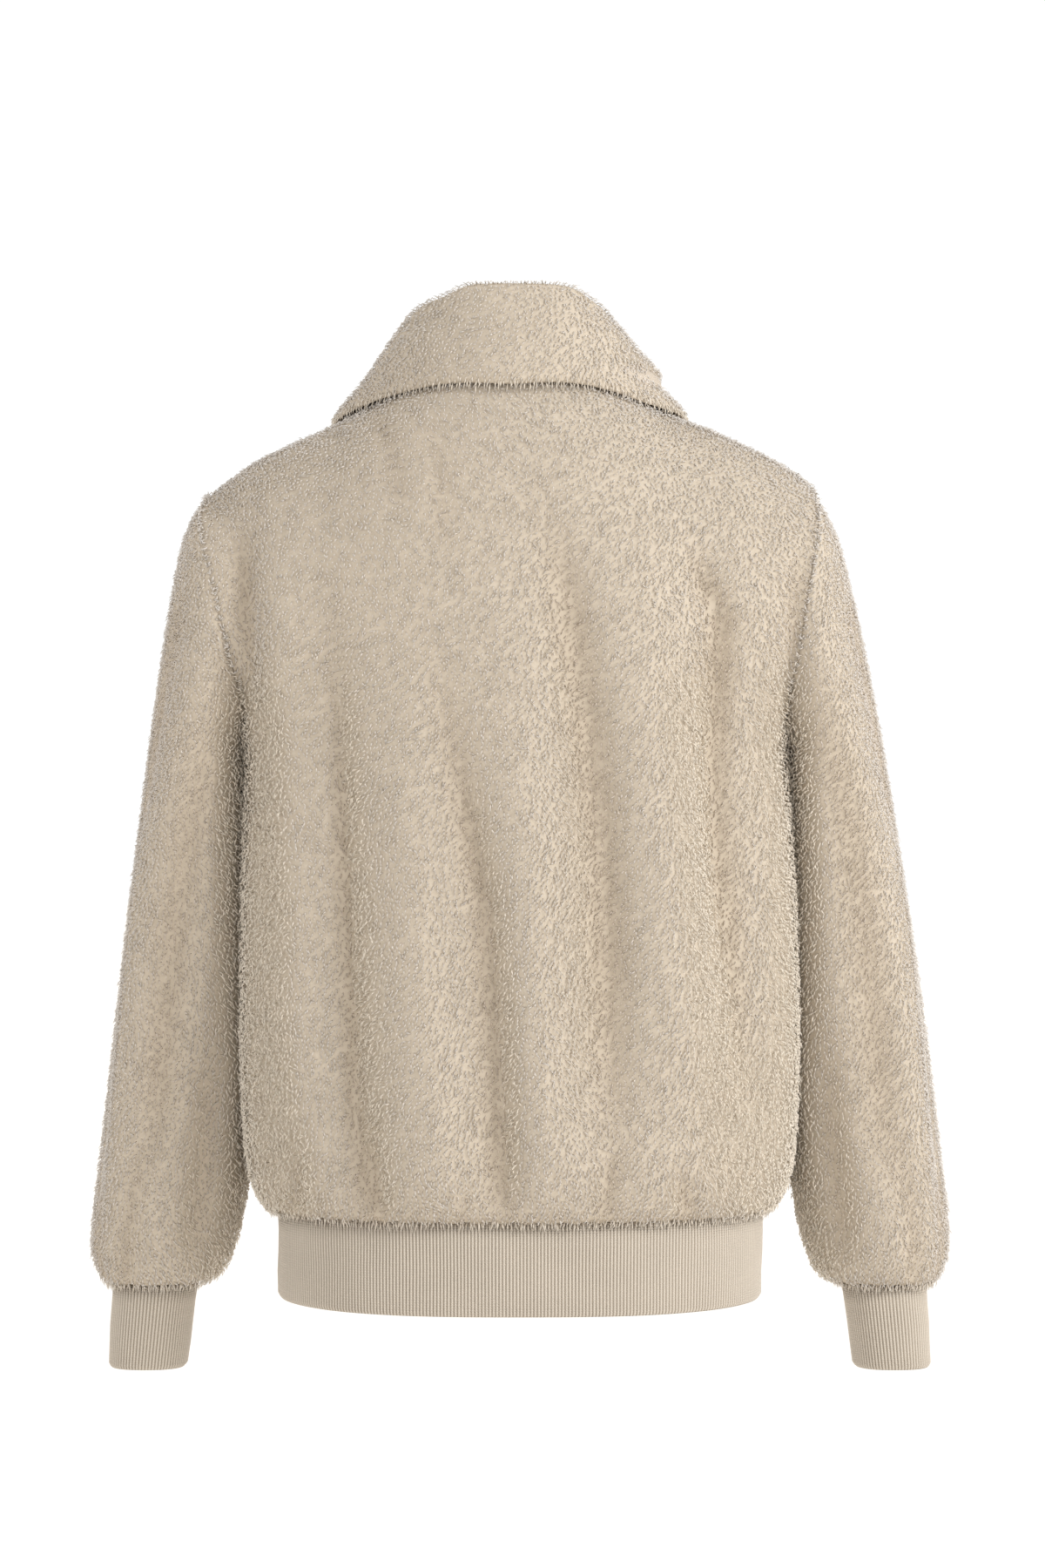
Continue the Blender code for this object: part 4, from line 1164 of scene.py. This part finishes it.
        reach = comb * length[:, None]
        root = fur.places - fur.normals * style.root_depth - reach * style.behind
        knee = fur.places + fur.normals * (knee_height - width)[:, None] + reach * (style.knee - style.behind)
        knee = knee + side * bend[:, None]
        tip = fur.places + fur.normals * (tip_height - width)[:, None] + reach * (1.0 - style.behind)
        piece = link(name, self.lock_mesh(name, root, knee, tip, width, fur.normals, side))
        size = LOCK_SIDES + 2
        tone = 0.5 + spin.normal(0.0, 0.20, count) + 0.25 * drift(fur.places, 0.0045, self.seed + 9)
        # Tones for the material: the random lock tone, the share of painted light on tucked and hem locks, and the
        # trough depth that paints trough shade
        tones = {"lock_tone": np.clip(tone, 0.0, 1.0), "painted_light_share": np.maximum(tuck, fur.hem),
                 "hollow": self.hollow(fur.places)}
        for key, values in tones.items():
            set_tone(piece.data, key, np.repeat(values, size))
        return piece

    @staticmethod
    def lock_mesh(
        name: str, root: Array, knee: Array, tip: Array, width: Array, normals: Array, side: Array
    ) -> bpy.types.Mesh:
        """Join each lock's root, knee and tip into a closed, bent spindle, all in one mesh."""
        columns = [root]
        for step in range(LOCK_SIDES):
            angle = math.tau * (step / LOCK_SIDES + 0.25)
            columns.append(knee + (side * math.cos(angle) + normals * math.sin(angle)) * width[:, None])
        columns.append(tip)
        points = np.stack(columns, axis=1)
        size = len(columns)
        template = []
        for step in range(LOCK_SIDES):
            near = 1 + step
            far = 1 + (step + 1) % LOCK_SIDES
            template.extend(((0, far, near), (near, far, size - 1)))
        faces = (np.arange(len(root))[:, None, None] * size + np.array(template)[None]).reshape(-1, 3)
        mesh = mesh_from_faces(name, points.reshape(-1, 3), faces)
        around = [0.5, *(step / LOCK_SIDES for step in range(LOCK_SIDES)), 0.5]
        along = [0.0, *[0.5] * LOCK_SIDES, 1.0]
        set_uv(mesh, np.tile(np.stack((around, along), axis=1), (len(root), 1)))
        return mesh


# ---- Rib bands ----


@dataclass(frozen=True)
class BandEnd:
    """One end of a rib band: its level, middle and reach, in metres."""

    z: float
    centre_x: float
    centre_y: float
    half_width: float
    back: float
    front: float


# The rows round a band's low edge: how far down each is, and how deep in the wall
RIB_FOLD = ((0.985, 0.22), (1.0, 0.5), (0.985, 0.78))


@dataclass
class RibBand:
    """A band of rib knit folded double, so that its low edge is round and both sides show ribs."""

    name: str
    node: str
    top: BandEnd
    low: BandEnd
    ribs: int
    side: int = 1
    gap_x: float = 0.0
    roundness: float = 2.4
    wall: float = 0.0030
    relief: float = 0.00095
    steps: int = 4
    levels: int = 5
    waver: float = 0.0010
    sag: float = 0.0
    seed: int = 5

    def ring(self, share: float, inset: float) -> tuple[Array, Array]:
        """Work out one level of the band.

        Args:
            share: 0 at the top and 1 at the low end.
            inset: How deep it lies in the wall, in metres.

        Returns:
            The points and their outward directions.
        """
        ends = [getattr(self.top, key) * (1 - share) + getattr(self.low, key) * share for key in
                ("z", "centre_x", "centre_y", "half_width", "back", "front")]
        z, centre_x, centre_y, half_width, back, front = ends
        start = math.asin((self.gap_x / half_width) ** (self.roundness / 2.0)) if self.gap_x else 0.0
        fine = np.linspace(start, math.tau - start, 4001)
        power = 2.0 / self.roundness
        across = np.sign(np.sin(fine)) * np.abs(np.sin(fine)) ** power
        deep = -np.sign(np.cos(fine)) * np.abs(np.cos(fine)) ** power
        x = centre_x + half_width * across
        y = centre_y + np.where(deep > 0, back, front) * deep
        run = np.concatenate(([0.0], np.cumsum(np.hypot(np.diff(x), np.diff(y)))))
        count = self.ribs * self.steps + (1 if self.gap_x else 0)
        places = np.linspace(0.0, run[-1], self.ribs * self.steps + 1)[:count]
        line = np.stack((np.interp(places, run, x), np.interp(places, run, y)), axis=1)
        if self.gap_x:
            along = np.gradient(line, axis=0)
        else:
            along = np.roll(line, -1, axis=0) - np.roll(line, 1, axis=0)
        out = unit(np.stack((along[:, 1], -along[:, 0]), axis=1))
        out *= np.sign(np.sum(out * (line - np.array((centre_x, centre_y))), axis=1))[:, None]
        line = line - out * inset
        fall = self.sag * share * (1.0 - np.abs((line[:, 0] - centre_x) / half_width) ** 4)
        points = np.column_stack((line, z - fall))
        return points, np.column_stack((out, np.zeros(count)))

    def relief_at(self, count: int) -> Array:
        """The rounded rise of the ribs, from 0 in a valley to the relief on a crest."""
        phase = (np.arange(count) % self.steps) / self.steps
        return self.relief * np.abs(np.sin(math.pi * phase)) ** 0.75

    def build(self) -> bpy.types.Object:
        """Build the band as one closed mesh whose u counts ribs and v is the height."""
        outer_shares = np.linspace(0.0, 0.955, self.levels)
        layers = [(share, 0.0, 1.0, False) for share in outer_shares]
        layers += [(share, deep * self.wall, 0.6, False) for share, deep in RIB_FOLD]
        layers += [(share, self.wall, 1.0, True) for share in outer_shares[::-1]]
        rows = [self.wall_row(*layer) for layer in layers]
        maps = [self.wall_map(layer[0]) for layer in layers]
        columns = len(rows[0])
        closed = not self.gap_x
        cells = columns if closed else columns - 1
        faces = []
        total = len(rows)
        for row in range(total):
            low = (row + 1) % total
            for column in range(cells):
                after = (column + 1) % columns
                faces.append((row * columns + column, row * columns + after, low * columns + after,
                              low * columns + column))
        points = np.concatenate(rows)
        points[:, 0] *= self.side
        mesh = mesh_from_faces(self.name, points, np.array(faces))
        set_uv(mesh, np.concatenate(maps))
        piece = link(self.name, mesh)
        self.close_ends(piece)
        return piece

    def wall_row(self, share: float, inset: float, fade: float, inner: bool) -> Array:
        """One row of the wall, with its ribs and a slight waver."""
        points, out = self.ring(share, inset)
        rise = self.relief_at(len(points)) * fade
        if inner:
            points = points + out * (rise * 0.6)[:, None]
        else:
            points = points + out * (rise - self.relief)[:, None]
        ease = math.sin(math.pi * min(share * 1.1, 1.0))
        wave = drift(points, 0.030, self.seed) * self.waver * (0.35 + 0.65 * ease)
        return points + out * wave[:, None]

    def wall_map(self, share: float) -> Array:
        """The map of one row: u counts ribs from a valley and v is the height."""
        count = self.ribs * self.steps + (1 if self.gap_x else 0)
        height = self.top.z * (1 - share) + self.low.z * share
        return np.column_stack((np.arange(count) / self.steps, np.full(count, height)))

    @staticmethod
    def close_ends(piece: bpy.types.Object) -> None:
        """Close the two cut ends of an open band and turn its faces outwards."""
        with edited(piece.data) as shape:
            rims = [edge for edge in shape.edges if edge.is_boundary]
            if rims:
                bmesh.ops.holes_fill(shape, edges=rims, sides=0)
            bmesh.ops.recalc_face_normals(shape, faces=shape.faces)
        piece.data.shade_smooth()


# ---- The front zip ----


@dataclass
class Zip:
    """The centre-front zip: woven tapes, a chain of metal teeth, the slider and its pull."""

    tooth_pitch: float = 0.0026
    tooth_width: float = 0.0030
    tooth_height: float = 0.0012
    tooth_depth: float = 0.0028
    bevel: float = 0.00028
    foot_gap: float = 0.004
    top_gap: float = 0.006
    tooth_shift: float = 0.42
    line: Array = field(default_factory=lambda: np.zeros((0, 3)))

    def centre_line(self) -> Array:
        """Read the middle of the zip, from the foot up, off the two tapes."""
        points = np.concatenate([mesh_points(bpy.data.objects[f"zip_tape_{side}"].data) for side in ("left", "right")])
        order = np.argsort(points[:, 2])
        levels = np.round(points[order, 2], 3)
        line = [points[order][levels == level].mean(axis=0) for level in np.unique(levels)]
        return np.array(line)

    def along(self, line: Array, step: float, start: float, stop: float) -> tuple[Array, Array]:
        """Walk the line in even steps.

        Args:
            line: Points of the line.
            step: The distance between two places.
            start: How far from its foot to begin.
            stop: How far before its end to stop.

        Returns:
            The places and the upward directions there.
        """
        run = np.concatenate(([0.0], np.cumsum(np.linalg.norm(np.diff(line, axis=0), axis=1))))
        places = np.arange(start, run[-1] - stop, step)
        spots, ahead, behind = (
            np.stack([np.interp(at, run, line[:, axis]) for axis in range(3)], axis=1)
            for at in (places, places + step, places - step)
        )
        return spots, unit(ahead - behind)

    def make_tape(self, side: str) -> bpy.types.Object:
        """Copy a tape from the frame, refine it and bevel its edges."""
        node = f"zip_tape_{side}"
        tape = node_copy(node, f"{node}_woven")
        with edited(tape.data) as shape:
            bmesh.ops.remove_doubles(shape, verts=shape.verts, dist=MERGE)
            bmesh.ops.join_triangles(
                shape, faces=shape.faces, angle_face_threshold=math.radians(10), angle_shape_threshold=math.radians(90)
            )
        bevel_edges(tape, self.bevel, 2, 50)
        points = mesh_points(tape.data)
        set_uv(tape.data, points[:, (0, 2)])
        tape.data.shade_smooth()
        pick_only(tape)
        bpy.ops.object.shade_smooth_by_angle(angle=math.radians(35))
        return tape

    def model_tooth(self) -> bpy.types.Mesh:
        """Model one tooth: a jaw that grips the tape and a rounded head towards the middle."""
        bpy.ops.object.select_all(action="DESELECT")
        bpy.ops.mesh.primitive_cube_add(size=1.0)
        tooth = bpy.context.view_layer.objects.active
        tooth.scale = (self.tooth_width, self.tooth_depth, self.tooth_height)
        settle(tooth)
        bpy.ops.object.mode_set(mode="EDIT")
        shape = bmesh.from_edit_mesh(tooth.data)
        for face in shape.faces:
            face.select = face.normal.x < -0.9
        bmesh.update_edit_mesh(tooth.data)
        bpy.ops.mesh.extrude_region_move(TRANSFORM_OT_translate={"value": (-self.tooth_width * 0.28, 0, 0)})
        bpy.ops.transform.resize(value=(1.0, 0.55, 0.7))
        bpy.ops.mesh.select_all(action="SELECT")
        bpy.ops.mesh.normals_make_consistent(inside=False)
        bpy.ops.object.mode_set(mode="OBJECT")
        bevel_edges(tooth, self.bevel, 1)
        mesh = tooth.data.copy()
        bpy.data.objects.remove(tooth, do_unlink=True)
        return mesh

    def make_chain(self, side: int) -> bpy.types.Object:
        """Copy the tooth up one side of the zip, half a pitch later on the right."""
        tooth = self.model_tooth()
        local = mesh_points(tooth) * np.array((side, 1.0, 1.0))
        start = self.foot_gap + (0.0 if side > 0 else self.tooth_pitch / 2)
        spots, up = self.along(self.line, self.tooth_pitch, start, self.top_gap)
        across = np.tile((1.0, 0.0, 0.0), (len(up), 1))
        out = np.cross(across, up)
        shift = side * self.tooth_width * self.tooth_shift
        points = (
            spots[:, None, :]
            + across[:, None, :] * (local[None, :, 0:1] + shift)
            + out[:, None, :] * local[None, :, 1:2]
            + up[:, None, :] * local[None, :, 2:3]
        )
        shape = bmesh.new()
        shape.from_mesh(tooth)
        bmesh.ops.triangulate(shape, faces=shape.faces)
        triangles = np.array([[vert.index for vert in face.verts] for face in shape.faces])
        shape.free()
        faces = (np.arange(len(spots))[:, None, None] * len(local) + triangles[None]).reshape(-1, 3)
        name = "zip_teeth_left" if side > 0 else "zip_teeth_right"
        chain = link(name, mesh_from_faces(name, points.reshape(-1, 3), faces))
        pick_only(chain)
        bpy.ops.object.mode_set(mode="EDIT")
        bpy.ops.mesh.select_all(action="SELECT")
        bpy.ops.mesh.normals_make_consistent(inside=False)
        bpy.ops.object.mode_set(mode="OBJECT")
        bpy.ops.object.shade_smooth_by_angle(angle=math.radians(30))
        return chain

    def cast_copy(self, node: str, name: str) -> bpy.types.Object:
        """Copy a metal node from the frame with rounded, cast-looking edges."""
        piece = node_copy(node, name)
        with edited(piece.data) as shape:
            bmesh.ops.remove_doubles(shape, verts=shape.verts, dist=MERGE)
            flat = [edge for edge in shape.edges if edge.calc_face_angle(1.0) < math.radians(1)]
            bmesh.ops.dissolve_edges(shape, edges=flat, use_verts=False)
        bevel_edges(piece, self.bevel * 0.8, 3, 25)
        pick_only(piece)
        bpy.ops.object.shade_smooth_by_angle(angle=math.radians(35))
        return piece


# ---- The jacket ----


@dataclass(frozen=True)
class Cut:
    """The flat cut of one cloth piece, in metres and square metres."""

    width: float
    length: float
    area: float


PILE_CUTS = {
    "back": Cut(0.560, 0.640, 0.300),
    "front_left": Cut(0.270, 0.620, 0.145),
    "front_right": Cut(0.270, 0.620, 0.145),
    "sleeve_left": Cut(0.360, 0.600, 0.160),
    "sleeve_right": Cut(0.360, 0.600, 0.160),
    "collar": Cut(0.600, 0.190, 0.085),
}

# The middle of a sleeve's hollow: level, distance from the jacket's middle, and y
SLEEVE_MIDDLE = np.array(
    (
        (-0.060, 0.190, 0.000),
        (-0.150, 0.203, -0.003),
        (-0.230, 0.212, -0.009),
        (-0.300, 0.222, -0.014),
        (-0.400, 0.232, -0.026),
        (-0.500, 0.239, -0.035),
        (-0.560, 0.247, -0.040),
        (-0.608, 0.254, -0.0425),
    )
)



def creases(*rows: tuple[float, ...]) -> tuple[Crease, ...]:
    """Make creases from rows of width, depth and peak, and then the places and levels of a path in turn."""
    return tuple(Crease(tuple(zip(row[3::2], row[4::2])), *row[:3]) for row in rows)


def side_ridge(side: float) -> tuple[float, ...]:
    """The row of the ridge under a sleeve, where a front and the back run into each other."""
    return (0.0150, 0.0062, 0.40, side * 0.180, -0.140, side * 0.180, -0.300, side * 0.182, -0.570)


BACK_CREASES = creases(
    (0.0090, -0.0062, 0.80, 0.128, -0.100, 0.119, -0.250, 0.114, -0.376, 0.106, -0.500, 0.097, -0.575),
    (0.0115, -0.0066, 0.72, 0.062, -0.130, 0.042, -0.245, 0.023, -0.345, 0.016, -0.440, 0.010, -0.580),
    (0.0150, -0.0066, 0.40, -0.008, -0.045, -0.028, -0.115, -0.043, -0.215, -0.055, -0.320, -0.061, -0.560),
    (0.0105, -0.0078, 0.26, -0.108, -0.085, -0.134, -0.150, -0.130, -0.240, -0.134, -0.330, -0.156, -0.500),
    (0.0085, -0.0050, 0.60, 0.189, -0.070, 0.184, -0.150, 0.178, -0.225),
    (0.0080, -0.0030, 0.60, -0.190, -0.090, -0.184, -0.150, -0.180, -0.205),
    (0.0080, -0.0022, 0.45, 0.098, 0.000, 0.084, -0.045, 0.080, -0.090),
    (0.0100, -0.0020, 0.40, 0.060, -0.010, 0.052, -0.060, 0.050, -0.120),
    (0.0150, 0.0064, 0.40, 0.163, -0.085, 0.153, -0.250, 0.150, -0.470, 0.140, -0.560),
    (0.0150, 0.0030, 0.65, 0.086, -0.180, 0.070, -0.320, 0.048, -0.560),
    (0.0150, 0.0028, 0.65, 0.012, -0.160, -0.006, -0.300, -0.022, -0.565),
    (0.0150, 0.0032, 0.50, -0.082, -0.110, -0.098, -0.270, -0.122, -0.520),
    (0.0090, 0.0024, 0.45, -0.164, -0.120, -0.167, -0.300, -0.172, -0.520),
    (0.0055, -0.0050, 0.70, 0.098, -0.470, 0.090, -0.575),
    (0.0075, -0.0046, 0.80, -0.066, -0.490, -0.050, -0.578),
    (0.0080, -0.0044, 0.80, -0.104, -0.500, -0.116, -0.580),
    (0.0060, -0.0030, 0.75, 0.040, -0.510, 0.037, -0.580),
    (0.0060, -0.0040, 0.70, 0.146, -0.480, 0.150, -0.575),
    (0.0070, -0.0020, 0.30, 0.172, -0.250, 0.162, -0.330, 0.150, -0.400),
    (0.0060, -0.0016, 0.30, -0.164, -0.245, -0.152, -0.310, -0.148, -0.380),
    side_ridge(1.0),
    side_ridge(-1.0),
)
FRONT_LEFT_CREASES = creases(
    (0.0105, -0.0058, 0.76, 0.128, -0.130, 0.122, -0.360, 0.108, -0.580),
    (0.0130, -0.0060, 0.78, 0.062, -0.190, 0.053, -0.380, 0.050, -0.580),
    (0.0150, 0.0030, 0.62, 0.094, -0.150, 0.088, -0.350, 0.080, -0.565),
    (0.0090, -0.0036, 0.70, 0.152, -0.280, 0.148, -0.585),
    (0.0080, -0.0034, 0.78, 0.030, -0.420, 0.028, -0.590),
    (0.0065, -0.0036, 0.78, 0.078, -0.480, 0.074, -0.590),
    (0.0080, -0.0026, 0.30, 0.172, -0.250, 0.160, -0.320, 0.140, -0.390),
    side_ridge(1.0),
)
FRONT_RIGHT_CREASES = creases(
    (0.0110, -0.0062, 0.55, -0.116, -0.115, -0.130, -0.330, -0.136, -0.575),
    (0.0130, -0.0058, 0.80, -0.070, -0.230, -0.058, -0.420, -0.056, -0.580),
    (0.0150, 0.0030, 0.70, -0.094, -0.160, -0.097, -0.565),
    (0.0080, -0.0034, 0.75, -0.036, -0.430, -0.032, -0.590),
    (0.0070, -0.0038, 0.75, -0.100, -0.470, -0.104, -0.590),
    (0.0080, -0.0032, 0.70, -0.160, -0.320, -0.160, -0.585),
    (0.0080, -0.0026, 0.30, -0.162, -0.245, -0.148, -0.320, -0.128, -0.400),
    side_ridge(-1.0),
)
SLEEVE_CREASES = creases(
    (13, -0.0036, 0.40, 64, -0.110, 44, -0.220, 30, -0.330),
    (14, -0.0046, 0.60, 98, -0.140, 84, -0.350, 78, -0.560),
    (14, 0.0026, 0.60, 42, -0.260, 54, -0.585),
    (12, -0.0034, 0.70, 8, -0.320, 16, -0.590),
    (15, -0.0042, 0.45, -75, -0.150, -62, -0.340, -55, -0.540),
    (13, 0.0024, 0.60, -30, -0.280, -22, -0.580),
    (11, -0.0034, 0.70, 112, -0.400, 118, -0.600),
    (8, -0.0034, 0.70, 70, -0.490, 66, -0.620),
    (7, -0.0030, 0.70, 38, -0.520, 36, -0.620),
    (8, -0.0032, 0.70, -45, -0.520, -42, -0.620),
    (8, -0.0032, 0.70, -100, -0.500, -98, -0.620),
    (10, -0.0026, 0.40, 150, -0.130, 132, -0.190, 118, -0.260),
    (34, 0.0072, 0.40, 172, -0.140, 162, -0.300, 154, -0.560),
)
CREASES = {
    "back": BACK_CREASES,
    "front_left": FRONT_LEFT_CREASES,
    "front_right": FRONT_RIGHT_CREASES,
    "sleeve_left": SLEEVE_CREASES,
    "sleeve_right": SLEEVE_CREASES,
}

LOCK_LIMIT = 31000


class Jacket:
    """The whole jacket: pile pieces, rib bands and zip."""

    body = "jacket"
    pull_body = "pull"

    def __init__(self) -> None:
        """Make the jacket's finishes."""
        self.lock_finish = PileFinish().make()
        self.shell_finishes = {
            side: (KnitReverseFinish() if side is Face.INNER else PileGroundFinish()).make() for side in Face
        }
        self.rib_finish = RibFinish().make()
        self.tape_finish = TapeFinish().make()
        self.metal_finish = ZipMetalFinish().make()

    def dress(self, piece: bpy.types.Object, body: str, finish: bpy.types.Material | None) -> None:
        """Give a piece its body and finish.

        Args:
            piece: The piece.
            body: The body it rides on.
            finish: Its material, or None where it already has its own.
        """
        if finish is not None:
            piece.data.materials.clear()
            piece.data.materials.append(finish)
        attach(piece, body)
        LOG.info("%s: %d points", piece.name, len(piece.data.vertices))

    def pile_pieces(self) -> None:
        """Build each pile piece as a shell with its locks."""
        style = LockStyle()
        for number, (node, cut) in enumerate(PILE_CUTS.items()):
            piece = PilePiece(node, CREASES.get(node, ()), 20 + number)
            shell = piece.make_shell(self.shell_finishes)
            self.dress(shell, self.body, None)
            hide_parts(node)
            fur = piece.fur_points(style.spacing)
            locks = self.lock_pieces(piece, fur, style)
            for lock in locks:
                self.dress(lock, self.body, self.lock_finish)
            bpy.data.objects.remove(piece.form, do_unlink=True)

    @staticmethod
    def lock_pieces(piece: PilePiece, fur: Fur, style: LockStyle) -> list[bpy.types.Object]:
        """Make the locks of a piece, in as many parts from the top down as their number asks for."""
        count = len(fur.places)
        parts = math.ceil(count / LOCK_LIMIT)
        order = np.argsort(-fur.places[:, 2])
        made = []
        for part in range(parts):
            share = np.sort(order[part * count // parts:(part + 1) * count // parts])
            suffix = f"_{part + 1}" if parts > 1 else ""
            made.append(piece.make_locks(fur.part(share), style, f"{piece.node}_pile{suffix}"))
        return made

    def bands(self) -> None:
        """Build the waistband and the two cuffs, all of one rib knit."""
        cuff_top = BandEnd(-0.6083, 0.2541, -0.0425, 0.0296, 0.0345, 0.0345)
        cuff_low = BandEnd(-0.6670, 0.2599, -0.0455, 0.0273, 0.0310, 0.0310)
        bands = (
            RibBand(
                "waistband_rib",
                "waistband",
                BandEnd(-0.5533, 0.0, 0.0, 0.1668, 0.1165, 0.1045),
                BandEnd(-0.6120, 0.0, 0.0, 0.1662, 0.1160, 0.1040),
                ribs=384,
                gap_x=0.0090,
                sag=0.0030,
                seed=51,
            ),
            RibBand("cuff_left_rib", "cuff_left", cuff_top, cuff_low, ribs=84, waver=0.0006, seed=52),
            RibBand("cuff_right_rib", "cuff_right", cuff_top, cuff_low, ribs=84, side=-1, waver=0.0006, seed=53),
        )
        for band in bands:
            piece = band.build()
            self.dress(piece, self.body, self.rib_finish)
            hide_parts(band.node)

    def front_zip(self) -> None:
        """Build the zip's tapes, teeth, slider and pull."""
        closure = Zip()
        closure.line = closure.centre_line()
        for side, sign in (("left", 1), ("right", -1)):
            tape = closure.make_tape(side)
            self.dress(tape, self.body, self.tape_finish)
            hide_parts(f"zip_tape_{side}")
            chain = closure.make_chain(sign)
            self.dress(chain, self.body, self.metal_finish)
        slider = closure.cast_copy("zip_slider", "zip_slider_cast")
        self.dress(slider, self.body, self.metal_finish)
        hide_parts("zip_slider")
        pull = closure.cast_copy("zip_pull", "zip_pull_tab")
        self.dress(pull, self.pull_body, self.metal_finish)
        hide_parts("zip_pull")


# ---- Studio ----


@dataclass(frozen=True)
class Studio:
    """A pale floor that runs into a white sweep, soft lights and the camera behind the jacket."""

    camera_place: tuple[float, float, float] = (-0.0018, 3.1, -0.261)
    view_height: float = 1.08
    sensor: float = 24.0
    # The floor lies as far down as a wearer's shoulders stand above it
    floor_z: float = -1.40
    floor_colour: Colour = (0.900, 0.868, 0.825)
    sweep_glow: float = 0.45
    sky_over: Colour = (0.700, 0.672, 0.635)
    sky_round: Colour = (1.05, 1.05, 1.05)
    light_colour: Colour = (1.0, 0.995, 0.985)

    def place_camera(self) -> None:
        """Set the camera behind the jacket, level with its middle."""
        lens = bpy.data.cameras.new("camera")
        lens.sensor_fit = "VERTICAL"
        lens.sensor_height = self.sensor
        lens.lens = self.sensor * self.camera_place[1] / self.view_height
        camera = link("camera", lens)
        camera.location = self.camera_place
        camera.rotation_euler = (math.radians(90), 0.0, math.radians(180))
        bpy.context.scene.camera = camera

    def place_floor(self) -> None:
        """Lay a wide pale floor under the jacket, which glows softly far out like a lit sweep."""
        bpy.ops.object.select_all(action="DESELECT")
        bpy.ops.mesh.primitive_circle_add(vertices=96, radius=40.0, fill_type="NGON", location=(0, 0, self.floor_z))
        floor = bpy.context.view_layer.objects.active
        floor.name = "floor"
        settle(floor)
        graph = Graph("pale_floor")
        place = graph.object_place()
        split = graph.node("ShaderNodeSeparateXYZ", {}, {0: place})
        x, y = graph.out(split, 0), graph.out(split, 1)
        far = (((x * x + y * y) ** 0.5 - 1.4) / 1.8).clipped()
        cloud = graph.noise(place, 3.0)
        pale = tuple(channel * 0.985 for channel in self.floor_colour)
        floor.data.materials.append(
            graph.finish(
                {
                    "Base Color": graph.mix(cloud, self.floor_colour, pale),
                    "Roughness": 0.9,
                    "Emission Color": graph.mix(far, (0.0, 0.0, 0.0), (self.sweep_glow,) * 3),
                    "Emission Strength": 1.0,
                }
            )
        )
        floor.data.materials[0].cycles.emission_sampling = "NONE"

    def place_light(
        self, name: str, place: tuple[float, float, float], aim: tuple[float, float, float], size: float, watts: float
    ) -> None:
        """Hang one square soft light.

        Args:
            name: The light's name.
            place: Where it hangs.
            aim: What it points at.
            size: Its edge, in metres.
            watts: Its power.
        """
        lamp = bpy.data.lights.new(name, "AREA")
        lamp.shape = "SQUARE"
        lamp.size = size
        lamp.energy = watts
        lamp.color = self.light_colour
        holder = link(name, lamp)
        holder.location = place
        way = Vector(aim) - Vector(place)
        holder.rotation_euler = way.to_track_quat("-Z", "Y").to_euler()

    def light_world(self) -> None:
        """Surround the jacket with pale light: white all round at eye level and dimmer overhead."""
        graph = Graph("studio", bpy.data.worlds, "Background")
        way = graph.out(graph.node("ShaderNodeTexCoord", {}, {}), "Generated")
        split = graph.node("ShaderNodeSeparateXYZ", {}, {0: way})
        span = {"Value": graph.out(split, 2), "From Min": 0.26, "From Max": 0.60}
        level = graph.out(graph.node("ShaderNodeMapRange", {"interpolation_type": "SMOOTHSTEP"}, span), "Result")
        bpy.context.scene.world = graph.finish({"Color": graph.mix(level, self.sky_round, self.sky_over)})
        bpy.context.scene.view_settings.view_transform = "Standard"

    def build(self) -> None:
        """Build the whole studio."""
        self.place_camera()
        self.place_floor()
        self.light_world()
        self.place_light("key", (-2.6, 2.0, 1.0), (0.0, 0.0, -0.25), 1.3, 60.0)
        self.place_light("front", (1.6, -2.6, 1.2), (0.0, 0.0, -0.3), 1.6, 40.0)


def main() -> None:
    """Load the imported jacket, dress it and light it."""
    logging.basicConfig(level=logging.INFO, format="%(name)s: %(message)s")
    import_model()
    jacket = Jacket()
    jacket.pile_pieces()
    jacket.bands()
    jacket.front_zip()
    Studio().build()


if __name__ == "__main__":
    main()
